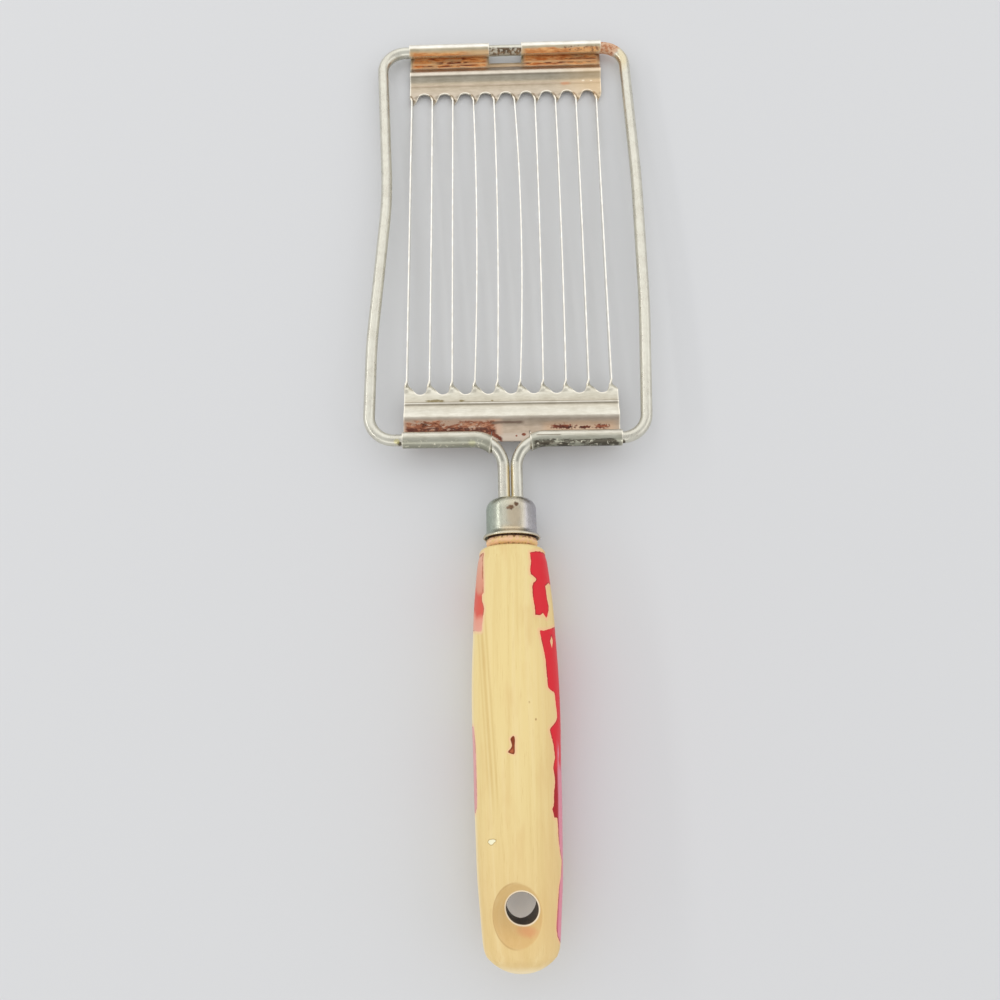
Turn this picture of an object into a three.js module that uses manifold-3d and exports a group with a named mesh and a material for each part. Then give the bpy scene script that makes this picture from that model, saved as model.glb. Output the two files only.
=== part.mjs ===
// A hand slicer for tomatoes, in millimetres: a wooden handle, a bent wire frame and ten thin blades across it.
// Y runs along the tool, from the handle's end (-Y) to the far end of the frame (+Y). Z points out of its front.
// While the pieces are made, Y is zero at the handle's shoulder and Z is zero at the middle of the frame wire.

import * as THREE from "three";
import { mergeVertices } from "three/addons/utils/BufferGeometryUtils.js";
import Module from "manifold-3d";

const wasm = await Module();
wasm.setup();

const degree = Math.PI / 180;
const quarterTurn = 90 * degree;

// Frame wire
const wireDiameter = 3.25;
const neckGap = 0.25;
const neckBendRadius = 8;
const cornerBendRadius = 7;
const frameBottom = 30.5;
const frameLength = 129.1;
const tangDepth = 45;
// The sides have been knocked about: the left one is kinked inwards and the right one bows outwards.
const leftBottomReach = 38.8;
const leftTopReach = 38.05;
const leftElbowReach = 38.65;
const leftElbowHeight = 29;
const leftKinkReach = 35.35;
const leftKinkHeight = 76.3;
const rightBottomReach = 37;
const rightTopReach = 37.2;
const rightLowBowReach = 38.75;
const rightLowBowHeight = 40.3;
const rightHighBowReach = 38.85;
const rightHighBowHeight = 82.3;
const kinkBendRadius = 150;
const bowBendRadius = 400;
// The far end of the frame is out of square, and the neck and the handle lean to the left at the frame.
const farEndLean = 1 * degree;
const handleLean = 0.37 * degree;
const leanCentre = -35.2;

// Blade grid, stamped from one sheet
const sheetThickness = 0.45;
const bladeCount = 10;
const bladePitch = 6.35;
const stripWidth = 2.5;
const curlClearance = 0.2;
const gridShift = 0.35;
const webReach = 14;
const edgeFlat = 2.2;
const beadWidth = 0.9;
const beadHeight = 0.3;
const ribStart = 3.4;
const ribCrest = 7;
const ribEnd = 9.6;
const ribHeight = 1;
const topNotchWidth = 10.1;
const topNotchDepth = 10.95;
const bottomNotchWidth = 10.65;
const bottomNotchShift = -0.35;
const tabSlitDepth = 3;
const tabSlitWidth = 0.2;
const tabSlantShare = 0.3;
const curlTurn = 250 * degree;
const rootLength = 3.8;
const twistStart = 0.3;
const bladeOffset = -0.55;
// How far each blade is bowed to the right at mid-length, from the left one to the right one.
const bladeBows = [0, 0.1, 0, 0.8, 0.6, 1.2, 0.3, 0.3, 0.15, 0];

// Ferrule
const ferruleFoot = 2.6;
const ferruleLength = 10.7;
const ferruleDiameter = 13.25;
const ferruleWall = 0.5;
const lipDiameter = 15.1;
const lipLength = 1.6;
const ferruleRounding = 3;
const fitClearance = 0.3;

// Handle
const handleLength = 99.2;
const handleWidth = 21.9;
const handleThickness = 17;
const handleSquareness = 2.25;
const shoulderDiameter = 12;
const shoulderRounding = 2.4;
const collarDiameter = 13.2;
const collarDrop = 1.2;
const tenonGap = 0.35;
const tenonShortfall = 1.6;
const tenonChamfer = 0.6;
const endArcRadius = 10.9;
const endArcTurn = 46 * degree;
const hangHoleDiameter = 7.3;
const hangHoleFromEnd = 14.5;
const hangHoleShift = 0.25;
const countersinkDiameter = 14.1;
const countersinkDepth = 3;
const countersinkShiftX = -1.5;
const countersinkShiftY = -1.85;

// Half the handle's outline: shares of its length from the shoulder, and of its greatest width.
const handleWidthShares = [
  [0.024, 0.785],
  [0.133, 0.909],
  [0.234, 0.959],
  [0.335, 0.995],
  [0.425, 1],
  [0.526, 0.98],
  [0.617, 0.969],
  [0.708, 0.947],
  [0.798, 0.922],
  [0.884, 0.862],
  [0.927, 0.829],
  [0.95, 0.797],
];

// How thick the handle is beside its own width, as a share of the middle's ratio, along its length.
const handleFlatnessShares = [
  [0, 1.2],
  [0.14, 1.08],
  [0.34, 1],
  [0.71, 1],
  [0.93, 0.945],
  [1, 0.93],
];

// How fine the meshes are
const wireSides = 12;
const bendStep = 11.25 * degree;
const ribSteps = 4;
const curlSteps = 12;
const rootSteps = 8;
const bowSteps = 8;
const neckFollowSteps = 4;
const ferruleSides = 32;
const arcSteps = 5;
const handleSides = 32;
const holeSides = 32;

// One overrun serves every cut and every join.
const overrun = 0.4;

// Sizes that follow from those above
const wireRadius = wireDiameter / 2;
const neckHalf = (wireDiameter + neckGap) / 2;
const frameTop = frameBottom + frameLength;
const curlRadius = wireRadius + curlClearance + sheetThickness / 2;
const sheetHeight = -curlRadius;
const gridWidth = (bladeCount - 1) * bladePitch + stripWidth;
const topRoots = frameTop - webReach;
const bottomRoots = frameBottom + webReach;
const ferruleTop = ferruleFoot + ferruleLength;

// Materials
const wireSteel = new THREE.MeshStandardMaterial({ color: "#cfccc2", roughness: 0.32, metalness: 0.9 });
const sheetSteel = new THREE.MeshStandardMaterial({ color: "#bcb3a4", roughness: 0.42, metalness: 0.85 });
const bladeSteel = new THREE.MeshStandardMaterial({ color: "#d6d4ce", roughness: 0.3, metalness: 0.9 });
const ferruleSteel = new THREE.MeshStandardMaterial({ color: "#a3a594", roughness: 0.4, metalness: 0.8 });
const paleWood = new THREE.MeshStandardMaterial({ color: "#e6d08f", roughness: 0.62, metalness: 0 });

// How much further out the far end of the frame is, at a distance to the right of its middle.
function farEndShift(x) {
  return x * Math.tan(farEndLean);
}

// How far the neck and the handle have moved to the right at a height.
function handleShift(y) {
  return (leanCentre - y) * Math.tan(handleLean);
}

// A closed geometry as a solid that can be joined and cut.
function solidOf(geometry) {
  const bare = geometry.clone();
  bare.deleteAttribute("normal");
  bare.deleteAttribute("uv");
  const merged = mergeVertices(bare);
  const vertProperties = merged.getAttribute("position").array;
  const triVerts = new Uint32Array(merged.index.array);
  return new wasm.Manifold(new wasm.Mesh({ numProp: 3, vertProperties, triVerts }));
}

function geometryOf(solid) {
  const mesh = solid.getMesh();
  const geometry = new THREE.BufferGeometry();
  geometry.setAttribute("position", new THREE.BufferAttribute(mesh.vertProperties, 3));
  geometry.setIndex(new THREE.BufferAttribute(mesh.triVerts, 1));
  geometry.computeVertexNormals();
  return geometry;
}

// Moves every vertex of a geometry by a rule that changes the vertex it is given.
function reshape(geometry, rule) {
  const places = geometry.getAttribute("position");
  const vertex = new THREE.Vector3();
  for (let i = 0; i < places.count; i++) {
    vertex.fromBufferAttribute(places, i);
    rule(vertex);
    places.setXYZ(i, vertex.x, vertex.y, vertex.z);
  }
  return geometry;
}

function smoothStep(share) {
  const t = THREE.MathUtils.clamp(share, 0, 1);
  return t * t * (3 - 2 * t);
}

// A value read off a table of [place, value] rows by straight lines between them.
function readOff(rows, place) {
  const next = rows.findIndex((row) => row[0] > place);
  if (next === 0) return rows[0][1];
  if (next < 0) return rows.at(-1)[1];
  const [before, after] = [rows[next - 1], rows[next]];
  const share = (place - before[0]) / (after[0] - before[0]);
  return THREE.MathUtils.lerp(before[1], after[1], share);
}

// The path of a bent wire: straight runs between corners, each corner rounded by its own bend radius.
// It has a ring at both ends of every bend and at even steps round it, and none along the straight runs.
class BentWire extends THREE.Curve {
  constructor(corners, bendRadii) {
    super();
    this.rings = [];
    const directions = corners.slice(1).map((corner, i) => corner.clone().sub(corners[i]).normalize());
    this.rings.push({ place: corners[0], direction: directions[0] });
    bendRadii.forEach((radius, i) => this.addBend(corners[i + 1], directions[i], directions[i + 1], radius));
    this.rings.push({ place: corners.at(-1), direction: directions.at(-1) });
  }

  addBend(corner, arriving, leaving, radius) {
    const turn = arriving.angleTo(leaving);
    const start = corner.clone().addScaledVector(arriving, -radius * Math.tan(turn / 2));
    const inwards = leaving.clone().addScaledVector(arriving, -Math.cos(turn)).normalize();
    const steps = Math.max(2, Math.ceil(turn / bendStep));
    for (let i = 0; i <= steps; i++) {
      const angle = (turn * i) / steps;
      const place = start.clone().addScaledVector(arriving, radius * Math.sin(angle));
      place.addScaledVector(inwards, radius * (1 - Math.cos(angle)));
      const direction = arriving.clone().multiplyScalar(Math.cos(angle)).addScaledVector(inwards, Math.sin(angle));
      this.rings.push({ place, direction });
    }
  }

  ringAt(share) {
    return this.rings[Math.round(share * (this.rings.length - 1))];
  }

  getPointAt(share) {
    return this.ringAt(share).place.clone();
  }

  getTangentAt(share) {
    return this.ringAt(share).direction.clone();
  }
}

// The frame: from the left tang up the neck, round the rectangle and down the neck to the right tang.
function frameWire() {
  const neckMiddle = handleShift(frameBottom);
  const tangMiddle = handleShift(-tangDepth);
  const bends = [
    [neckMiddle - neckHalf, frameBottom, neckBendRadius],
    [-leftBottomReach, frameBottom, cornerBendRadius],
    [-leftElbowReach, frameBottom + leftElbowHeight, kinkBendRadius],
    [-leftKinkReach, frameBottom + leftKinkHeight, kinkBendRadius],
    [-leftTopReach, frameTop + farEndShift(-leftTopReach), cornerBendRadius],
    [rightTopReach, frameTop + farEndShift(rightTopReach), cornerBendRadius],
    [rightHighBowReach, frameBottom + rightHighBowHeight, bowBendRadius],
    [rightLowBowReach, frameBottom + rightLowBowHeight, bowBendRadius],
    [rightBottomReach, frameBottom, cornerBendRadius],
    [neckMiddle + neckHalf, frameBottom, neckBendRadius],
  ];
  const corners = bends.map(([x, y]) => new THREE.Vector3(x, y, 0));
  corners.unshift(new THREE.Vector3(tangMiddle - neckHalf, -tangDepth, 0));
  corners.push(new THREE.Vector3(tangMiddle + neckHalf, -tangDepth, 0));
  const path = new BentWire(corners, bends.map((bend) => bend[2]));
  const section = new THREE.Shape().absarc(0, 0, wireRadius, 0, 4 * quarterTurn);
  return new THREE.ExtrudeGeometry(section, {
    extrudePath: path,
    steps: path.rings.length - 1,
    curveSegments: wireSides / 2,
    bevelEnabled: false,
  });
}

// The middle line of the stamped sheet across a bar: x runs from the blade roots towards the wire, y is height.
function webLine(end) {
  const points = [new THREE.Vector2(0, 0), new THREE.Vector2(edgeFlat, 0)];
  points.push(new THREE.Vector2(edgeFlat + beadWidth / 2, beadHeight));
  points.push(new THREE.Vector2(edgeFlat + beadWidth, 0));
  for (let i = 0; i <= ribSteps; i++) {
    const share = i / ribSteps;
    points.push(new THREE.Vector2(THREE.MathUtils.lerp(ribStart, ribCrest, share), ribHeight * smoothStep(share)));
  }
  for (let i = 1; i <= ribSteps; i++) {
    const share = i / ribSteps;
    points.push(new THREE.Vector2(THREE.MathUtils.lerp(ribCrest, ribEnd, share), ribHeight * smoothStep(1 - share)));
  }
  points.push(new THREE.Vector2(end, 0));
  return points;
}

// The middle line of a tab: flat behind the wire, then curled round its outside and over its front.
function curlLine(start) {
  const points = [new THREE.Vector2(start, 0), new THREE.Vector2(webReach - overrun, 0)];
  for (let i = 0; i <= curlSteps; i++) {
    const angle = (curlTurn * i) / curlSteps - quarterTurn;
    points.push(new THREE.Vector2(webReach + curlRadius * Math.cos(angle), curlRadius * (1 + Math.sin(angle))));
  }
  return points;
}

// A sheet's closed outline, half its thickness to each side of its middle line.
function sheetOutline(line) {
  const sides = line.map((point, i) => {
    const before = line[Math.max(i - 1, 0)];
    const after = line[Math.min(i + 1, line.length - 1)];
    const along = after.clone().sub(before).normalize();
    const out = new THREE.Vector2(-along.y, along.x).multiplyScalar(sheetThickness / 2);
    return [point.clone().add(out), point.clone().sub(out)];
  });
  return new THREE.Shape([...sides.map((side) => side[1]), ...sides.map((side) => side[0]).reverse()]);
}

// An outline drawn across a bar, run along the bar with a section at each station, from left to right.
// end is +1 for the far bar, which leans with the far end of the frame, and -1 for the near one.
function alongBar(outline, stations, end) {
  const steps = stations.length - 1;
  const geometry = new THREE.ExtrudeGeometry(outline, { depth: steps, steps, bevelEnabled: false });
  reshape(geometry, (vertex) => {
    const step = Math.round(vertex.z);
    vertex.z = end * stations[end > 0 ? step : steps - step];
  });
  const across = new THREE.Vector3(0, end, 0);
  const up = new THREE.Vector3(0, 0, 1);
  const along = new THREE.Vector3(end, 0, 0);
  geometry.applyMatrix4(new THREE.Matrix4().makeBasis(across, up, along));
  geometry.translate(0, end > 0 ? topRoots : bottomRoots, sheetHeight);
  if (end < 0) return geometry;
  return reshape(geometry, (vertex) => {
    vertex.y += farEndShift(vertex.x);
  });
}

// The near tabs follow the wire where it starts to bend down into the neck, and their ends are cut at a slant.
function followNeckBend(vertex) {
  const neckMiddle = handleShift(frameBottom);
  const bendStart = neckHalf + neckBendRadius;
  const past = bendStart - Math.abs(vertex.x - neckMiddle);
  const start = bottomRoots - webReach + tabSlitDepth;
  if (past <= 0 || vertex.y >= start) return;
  const side = Math.sign(vertex.x - neckMiddle);
  const fromCentre = vertex.y - frameBottom + neckBendRadius;
  const curled = vertex.z > sheetHeight + sheetThickness;
  const slant = curled ? tabSlantShare * (fromCentre / neckBendRadius - 1) : 0;
  const across = past * (1 + slant);
  const drop = fromCentre - Math.sqrt(fromCentre ** 2 - across ** 2);
  vertex.x = neckMiddle + side * (bendStart - across);
  vertex.y -= curled ? drop : drop * Math.min(1, (start - vertex.y) / tabSlitDepth);
}

// Where a notch's edge is: the left (-1) or the right (+1) one of the far (+1) or the near (-1) bar.
function notchEdge(side, end) {
  if (end > 0) return gridShift + (side * topNotchWidth) / 2;
  return gridShift + bottomNotchShift + (side * bottomNotchWidth) / 2;
}

// A curled tab, to the left (-1) or right (+1) of the notch.
function tab(side, end) {
  const inner = notchEdge(side, end);
  const outer = gridShift + (side * gridWidth) / 2;
  const outline = sheetOutline(curlLine((end > 0 ? topNotchDepth : webReach - tabSlitDepth) - overrun));
  if (end > 0) return alongBar(outline, [inner, outer].sort((a, b) => a - b), end);
  const bendStart = handleShift(frameBottom) + side * (neckHalf + neckBendRadius);
  const stations = [outer];
  for (let i = 0; i <= neckFollowSteps; i++) {
    stations.push(THREE.MathUtils.lerp(bendStart, inner, i / neckFollowSteps));
  }
  return reshape(alongBar(outline, stations.sort((a, b) => a - b), end), followNeckBend);
}

// The tongue that is left between the two near tabs, with a narrow slit to each of them.
function tongue() {
  const line = [new THREE.Vector2(webReach - tabSlitDepth - overrun, 0), new THREE.Vector2(webReach, 0)];
  return alongBar(sheetOutline(line), [notchEdge(-1, -1) + tabSlitWidth, notchEdge(1, -1) - tabSlitWidth], -1);
}

// The middle of a blade's strip, where it leaves the bars.
function stripX(index) {
  return gridShift + (index - (bladeCount - 1) / 2) * bladePitch;
}

// Half a strip's width near the bar, where it widens beside a slot's round end.
function rootHalfWidth(distance) {
  const slotRadius = (bladePitch - stripWidth) / 2;
  const inside = THREE.MathUtils.clamp(slotRadius - distance, 0, slotRadius);
  const round = Math.sqrt(slotRadius ** 2 - inside ** 2);
  return Math.min(bladePitch / 2 - round, bladePitch / 2 - overrun / 10);
}

// The end of a strip, turned from flat to on edge, its left side coming up. All the blades start square to the
// handle, so the far roots take up the far bar's lean.
function twistedRoot(index, end) {
  const length = rootLength + overrun;
  const rootsY = end > 0 ? topRoots : bottomRoots;
  const root = new THREE.BoxGeometry(stripWidth, length, sheetThickness, 1, rootSteps, 1);
  root.translate(0, (end * (overrun - rootLength)) / 2, 0);
  const upright = new THREE.Vector3(0, 1, 0);
  return reshape(root, (vertex) => {
    const distance = -end * vertex.y;
    const turned = smoothStep((distance - twistStart) / (rootLength - twistStart));
    const neighbour = index + Math.sign(vertex.x);
    const besideSlot = neighbour >= 0 && neighbour < bladeCount;
    if (besideSlot) vertex.x *= rootHalfWidth(distance) / (stripWidth / 2);
    vertex.applyAxisAngle(upright, quarterTurn * turned);
    vertex.x += stripX(index) + bladeOffset * turned;
    if (end > 0) vertex.y += farEndShift(vertex.x) * THREE.MathUtils.clamp(1 - distance / rootLength, 0, 1);
    vertex.y += rootsY;
    vertex.z += sheetHeight;
  });
}

// One end bar of the blade grid: the ribbed web, two curled tabs and the twisted roots of the blades.
function bladeBar(end) {
  const web = sheetOutline(webLine(end > 0 ? topNotchDepth : webReach - tabSlitDepth));
  let bar = solidOf(alongBar(web, [gridShift - gridWidth / 2, gridShift + gridWidth / 2], end));
  if (end < 0) bar = bar.add(solidOf(tongue()));
  for (const side of [-1, 1]) {
    bar = bar.add(solidOf(tab(side, end)));
  }
  for (let i = 0; i < bladeCount; i++) {
    bar = bar.add(solidOf(twistedRoot(i, end)));
  }
  return geometryOf(bar);
}

// The straight part of a blade: sheet on edge, bowed a little to the right.
function blade(index) {
  const length = topRoots - bottomRoots - 2 * rootLength;
  const strip = new THREE.BoxGeometry(sheetThickness, length, stripWidth, 1, bowSteps, 1);
  return reshape(strip, (vertex) => {
    const share = vertex.y / (length / 2);
    vertex.x += bladeBows[index] * (1 - share ** 2);
  });
}

// The ferrule and the handle are made upright and then leaned.
function leanWithHandle(geometry) {
  return reshape(geometry, (vertex) => {
    vertex.x += handleShift(vertex.y);
  });
}

// Points round a quarter of an arc in a lathe profile, from one angle to another.
function arcPoints(centreRadius, centreY, radius, fromAngle, toAngle) {
  return Array.from({ length: arcSteps + 1 }, (_, i) => {
    const angle = THREE.MathUtils.lerp(fromAngle, toAngle, i / arcSteps);
    return new THREE.Vector2(centreRadius + radius * Math.cos(angle), centreY + radius * Math.sin(angle));
  });
}

// Two wires side by side need an oblong hole: this is what is cut away, from one height to another.
function wirePassage(from, to) {
  const radius = wireRadius + fitClearance;
  const outline = new THREE.Shape();
  outline.absarc(neckHalf, 0, radius, -quarterTurn, quarterTurn);
  outline.absarc(-neckHalf, 0, radius, quarterTurn, 3 * quarterTurn);
  const passage = new THREE.ExtrudeGeometry(outline, { depth: to - from, bevelEnabled: false });
  return solidOf(passage.rotateX(quarterTurn).translate(0, to, 0));
}

// The ferrule: a thin cap with a rounded crown and a flared lip.
function ferrule() {
  const outer = ferruleDiameter / 2;
  const inner = outer - ferruleWall;
  const lip = lipDiameter / 2;
  const crown = outer - ferruleRounding;
  const roundCentre = ferruleTop - ferruleRounding;
  const profile = [
    new THREE.Vector2(0, ferruleTop - ferruleWall),
    ...arcPoints(crown, roundCentre, ferruleRounding - ferruleWall, quarterTurn, 0),
    new THREE.Vector2(inner, ferruleFoot + lipLength),
    new THREE.Vector2(lip - ferruleWall, ferruleFoot),
    new THREE.Vector2(lip, ferruleFoot),
    new THREE.Vector2(outer, ferruleFoot + lipLength),
    ...arcPoints(crown, roundCentre, ferruleRounding, 0, quarterTurn),
    new THREE.Vector2(0, ferruleTop),
  ];
  const cap = solidOf(new THREE.LatheGeometry(profile, ferruleSides));
  return leanWithHandle(geometryOf(cap.subtract(wirePassage(ferruleTop - ferruleRounding, ferruleTop + overrun))));
}

// The handle's half outline, from the tip of its rounded end to the top of its tenon.
function handleProfile() {
  const tenon = ferruleDiameter / 2 - ferruleWall - tenonGap;
  const tenonTop = ferruleTop - ferruleWall - tenonShortfall;
  const collar = collarDiameter / 2;
  const shoulder = shoulderDiameter / 2;
  const points = [
    new THREE.Vector2(0, tenonTop),
    new THREE.Vector2(tenon - tenonChamfer, tenonTop),
    new THREE.Vector2(tenon, tenonTop - tenonChamfer),
    new THREE.Vector2(tenon, ferruleFoot + lipLength),
    new THREE.Vector2(collar, ferruleFoot),
    new THREE.Vector2(collar, collarDrop),
    new THREE.Vector2(shoulder, 0),
  ];
  const flank = handleWidthShares.map(
    ([along, across]) => new THREE.Vector2((handleWidth / 2) * across, -handleLength * along),
  );
  const roundOver = flank[0].x - shoulder;
  for (let i = 1; i < arcSteps; i++) {
    const angle = (quarterTurn * i) / arcSteps;
    const x = shoulder + roundOver * Math.sin(angle);
    points.push(new THREE.Vector2(x, -shoulderRounding * (1 - Math.cos(angle))));
  }
  points.push(...flank);
  for (let i = 0; i <= arcSteps; i++) {
    const angle = endArcTurn * (1 - i / arcSteps);
    const y = -handleLength + endArcRadius * (1 - Math.cos(angle));
    points.push(new THREE.Vector2(endArcRadius * Math.sin(angle), y));
  }
  return points.reverse();
}

// The handle is thinner than it is wide: this is its thickness beside its width at a height.
function flatness(y) {
  if (y >= 0) return 1;
  const blend = smoothStep(-y / shoulderRounding);
  const ratio = (handleThickness / handleWidth) * readOff(handleFlatnessShares, -y / handleLength);
  return THREE.MathUtils.lerp(1, ratio, blend);
}

// A round section becomes an oval with fuller corners.
function ovalSection(vertex) {
  const radius = Math.hypot(vertex.x, vertex.z);
  if (radius === 0) return;
  const exponent = vertex.y < 0 ? 2 / handleSquareness : 1;
  const [cos, sin] = [vertex.x / radius, vertex.z / radius];
  vertex.x = radius * Math.sign(cos) * Math.abs(cos) ** exponent;
  vertex.z = radius * flatness(vertex.y) * Math.sign(sin) * Math.abs(sin) ** exponent;
}

// Half the handle's thickness at a height, on its middle line.
function crownHeight(y) {
  const along = -y / handleLength;
  return (handleWidth / 2) * readOff(handleWidthShares, along) * flatness(y);
}

// The hang hole with a dish at each of its mouths.
function hangHole() {
  const y = hangHoleFromEnd - handleLength;
  const surface = crownHeight(y);
  const radius = hangHoleDiameter / 2;
  const hole = new THREE.CylinderGeometry(radius, radius, 2 * (surface + overrun), holeSides);
  let cut = solidOf(hole.rotateX(quarterTurn).translate(hangHoleShift, y, 0));
  const flare = (countersinkDiameter / 2 - radius) / countersinkDepth;
  const mouth = countersinkDiameter / 2 + flare * overrun;
  for (const face of [-1, 1]) {
    const dish = new THREE.CylinderGeometry(mouth, radius, countersinkDepth + overrun, holeSides);
    dish.translate(0, surface + overrun - (countersinkDepth + overrun) / 2, 0);
    dish.rotateX(face * quarterTurn).translate(hangHoleShift + countersinkShiftX, y + countersinkShiftY, 0);
    cut = cut.add(solidOf(dish));
  }
  return cut;
}

function handle() {
  const turned = new THREE.LatheGeometry(handleProfile(), handleSides);
  const wood = solidOf(reshape(turned, ovalSection));
  const bore = wirePassage(-tangDepth - fitClearance, ferruleTop);
  return leanWithHandle(geometryOf(wood.subtract(bore).subtract(hangHole())));
}

const slicer = new THREE.Group();

function addPiece(name, geometry, material) {
  const mesh = new THREE.Mesh(geometry, material);
  mesh.name = name;
  slicer.add(mesh);
  return mesh;
}

addPiece("frame_wire", frameWire(), wireSteel);
addPiece("top_blade_bar", bladeBar(1), sheetSteel);
addPiece("bottom_blade_bar", bladeBar(-1), sheetSteel);
for (let i = 0; i < bladeCount; i++) {
  const piece = addPiece("blade_" + String(i + 1).padStart(2, "0"), blade(i), bladeSteel);
  piece.position.set(stripX(i) + bladeOffset, (topRoots + bottomRoots) / 2, sheetHeight);
}
addPiece("ferrule", ferrule(), ferruleSteel);
addPiece("handle", handle(), paleWood);

// The part's origin is at the middle of the underside of its box.
slicer.updateMatrixWorld(true);
const box = new THREE.Box3().setFromObject(slicer, true);
const middle = box.getCenter(new THREE.Vector3());
slicer.position.set(-middle.x, -middle.y, -box.min.z);

export default slicer;
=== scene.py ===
# %% [markdown]
# # A hand slicer for tomatoes
#
# The tool is a wooden handle, a bent wire frame and ten thin blades that are stretched between two pressed
# bars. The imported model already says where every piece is. This script loads it as a fixed frame and gives
# each piece the surface that one sees and touches.

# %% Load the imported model
import math

import bmesh
import bpy
import numpy as np
from mathutils import Matrix, Vector, noise


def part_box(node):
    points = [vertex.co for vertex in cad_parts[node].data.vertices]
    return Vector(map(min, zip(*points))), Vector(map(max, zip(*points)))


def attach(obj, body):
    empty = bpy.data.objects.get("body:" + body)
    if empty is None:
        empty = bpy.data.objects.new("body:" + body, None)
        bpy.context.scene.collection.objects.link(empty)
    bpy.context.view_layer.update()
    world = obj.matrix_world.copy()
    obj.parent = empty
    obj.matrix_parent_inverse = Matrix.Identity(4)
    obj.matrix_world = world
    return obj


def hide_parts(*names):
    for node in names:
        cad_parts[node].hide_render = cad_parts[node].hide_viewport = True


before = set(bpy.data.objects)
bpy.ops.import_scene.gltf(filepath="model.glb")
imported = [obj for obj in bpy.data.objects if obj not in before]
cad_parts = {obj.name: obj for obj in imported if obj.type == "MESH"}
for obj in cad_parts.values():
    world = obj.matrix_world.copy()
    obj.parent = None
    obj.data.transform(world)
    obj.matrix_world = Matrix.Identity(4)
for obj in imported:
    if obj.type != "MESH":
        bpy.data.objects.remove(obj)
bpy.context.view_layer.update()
print("nodes in the frame:", len(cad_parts))

# %% [markdown]
# ## Sizes
# Everything is in metres, so a size in millimetres is a number times `mm`. The main sizes are read off the
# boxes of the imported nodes, so that nothing has to be fitted by eye.

# %% Sizes that come from the frame
mm = 0.001
degree = math.radians(1)

wire_low, wire_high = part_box("frame_wire")
wire_radius = (wire_high.z - wire_low.z) / 2
wire_height = (wire_high.z + wire_low.z) / 2
tang_end = wire_low.y

blade_boxes = [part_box(f"blade_{number + 1:02d}") for number in range(10)]
blade_low, blade_high = blade_boxes[0]
sheet_thickness = blade_high.x - blade_low.x
strip_width = blade_high.z - blade_low.z
sheet_height = (blade_high.z + blade_low.z) / 2

handle_low, handle_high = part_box("handle")
ferrule_low, ferrule_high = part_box("ferrule")
print("wire radius in mm:", round(wire_radius / mm, 3))

# %% Sizes of the making, the same as the solids have
handle_length = 99.2 * mm
root_length = 3.8 * mm
web_reach = 14 * mm
grid_shift = 0.35 * mm
blade_offset = -0.55 * mm
blade_pitch = (blade_boxes[-1][0].x - blade_boxes[0][0].x) / (len(blade_boxes) - 1)

shoulder = handle_low.y + handle_length
near_roots = blade_low.y - root_length
far_roots = blade_high.y + root_length
frame_bottom = near_roots - web_reach
frame_top = far_roots + web_reach
grid_middle = (blade_boxes[0][0].x + blade_boxes[-1][0].x + sheet_thickness) / 2 - blade_offset
middle_x = grid_middle - grid_shift

# %% The frame's far end is out of square, and the neck and the handle lean a little
far_end_lean = 1 * degree
handle_lean = 0.37 * degree
lean_centre = shoulder - 35.2 * mm


def far_end_shift(x):
    return (x - middle_x) * math.tan(far_end_lean)


def handle_shift(y):
    return (lean_centre - y) * math.tan(handle_lean)


def leaned(point):
    return Vector((point.x + handle_shift(point.y), point.y, point.z))


# %% [markdown]
# ## The camera
# The photograph was taken from nearly straight above, a little from the handle's side. In Blender a camera
# looks down its own -Z axis, so turning it about X by the tilt and then about its own Z by the roll gives
# the same view. The distance and the lens come from how the tool narrows towards its far end.

# %% Place the camera
picture_width = 1000
focal_pixels = 800
camera_distance = 213 * mm
camera_tilt = 15.2 * degree
camera_roll = -0.8 * degree
aim = Vector((middle_x - 3.2 * mm, shoulder + 13.3 * mm, wire_height))

camera = bpy.data.objects.new("camera", bpy.data.cameras.new("camera"))
camera.data.lens = camera.data.sensor_width * focal_pixels / picture_width
camera.data.clip_start = 1 * mm
back = Vector((0, -math.sin(camera_tilt), math.cos(camera_tilt)))
turn = Matrix.Rotation(camera_tilt, 4, "X") @ Matrix.Rotation(camera_roll, 4, "Z")
camera.matrix_world = Matrix.Translation(aim + camera_distance * back) @ turn
bpy.context.scene.collection.objects.link(camera)
bpy.context.scene.camera = camera

# %% [markdown]
# ## Node trees, written as sums
# Materials and Geometry Nodes are both trees of nodes. This small class adds nodes and wires them, so that
# a recipe below reads like a formula. A constant that is the same all over a surface is written straight on
# the shader's own socket, because an exporter keeps those. Colours are written as a picture shows them, with
# red, green and blue from 0 to 255.


# %% A helper for node trees
def tone(red, green, blue):
    """A picture's colour, turned into the light values that nodes use."""
    linear = [value / 255 for value in (red, green, blue)]
    linear = [v / 12.92 if v < 0.04045 else ((v + 0.055) / 1.055) ** 2.4 for v in linear]
    return (*linear, 1.0)


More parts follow.
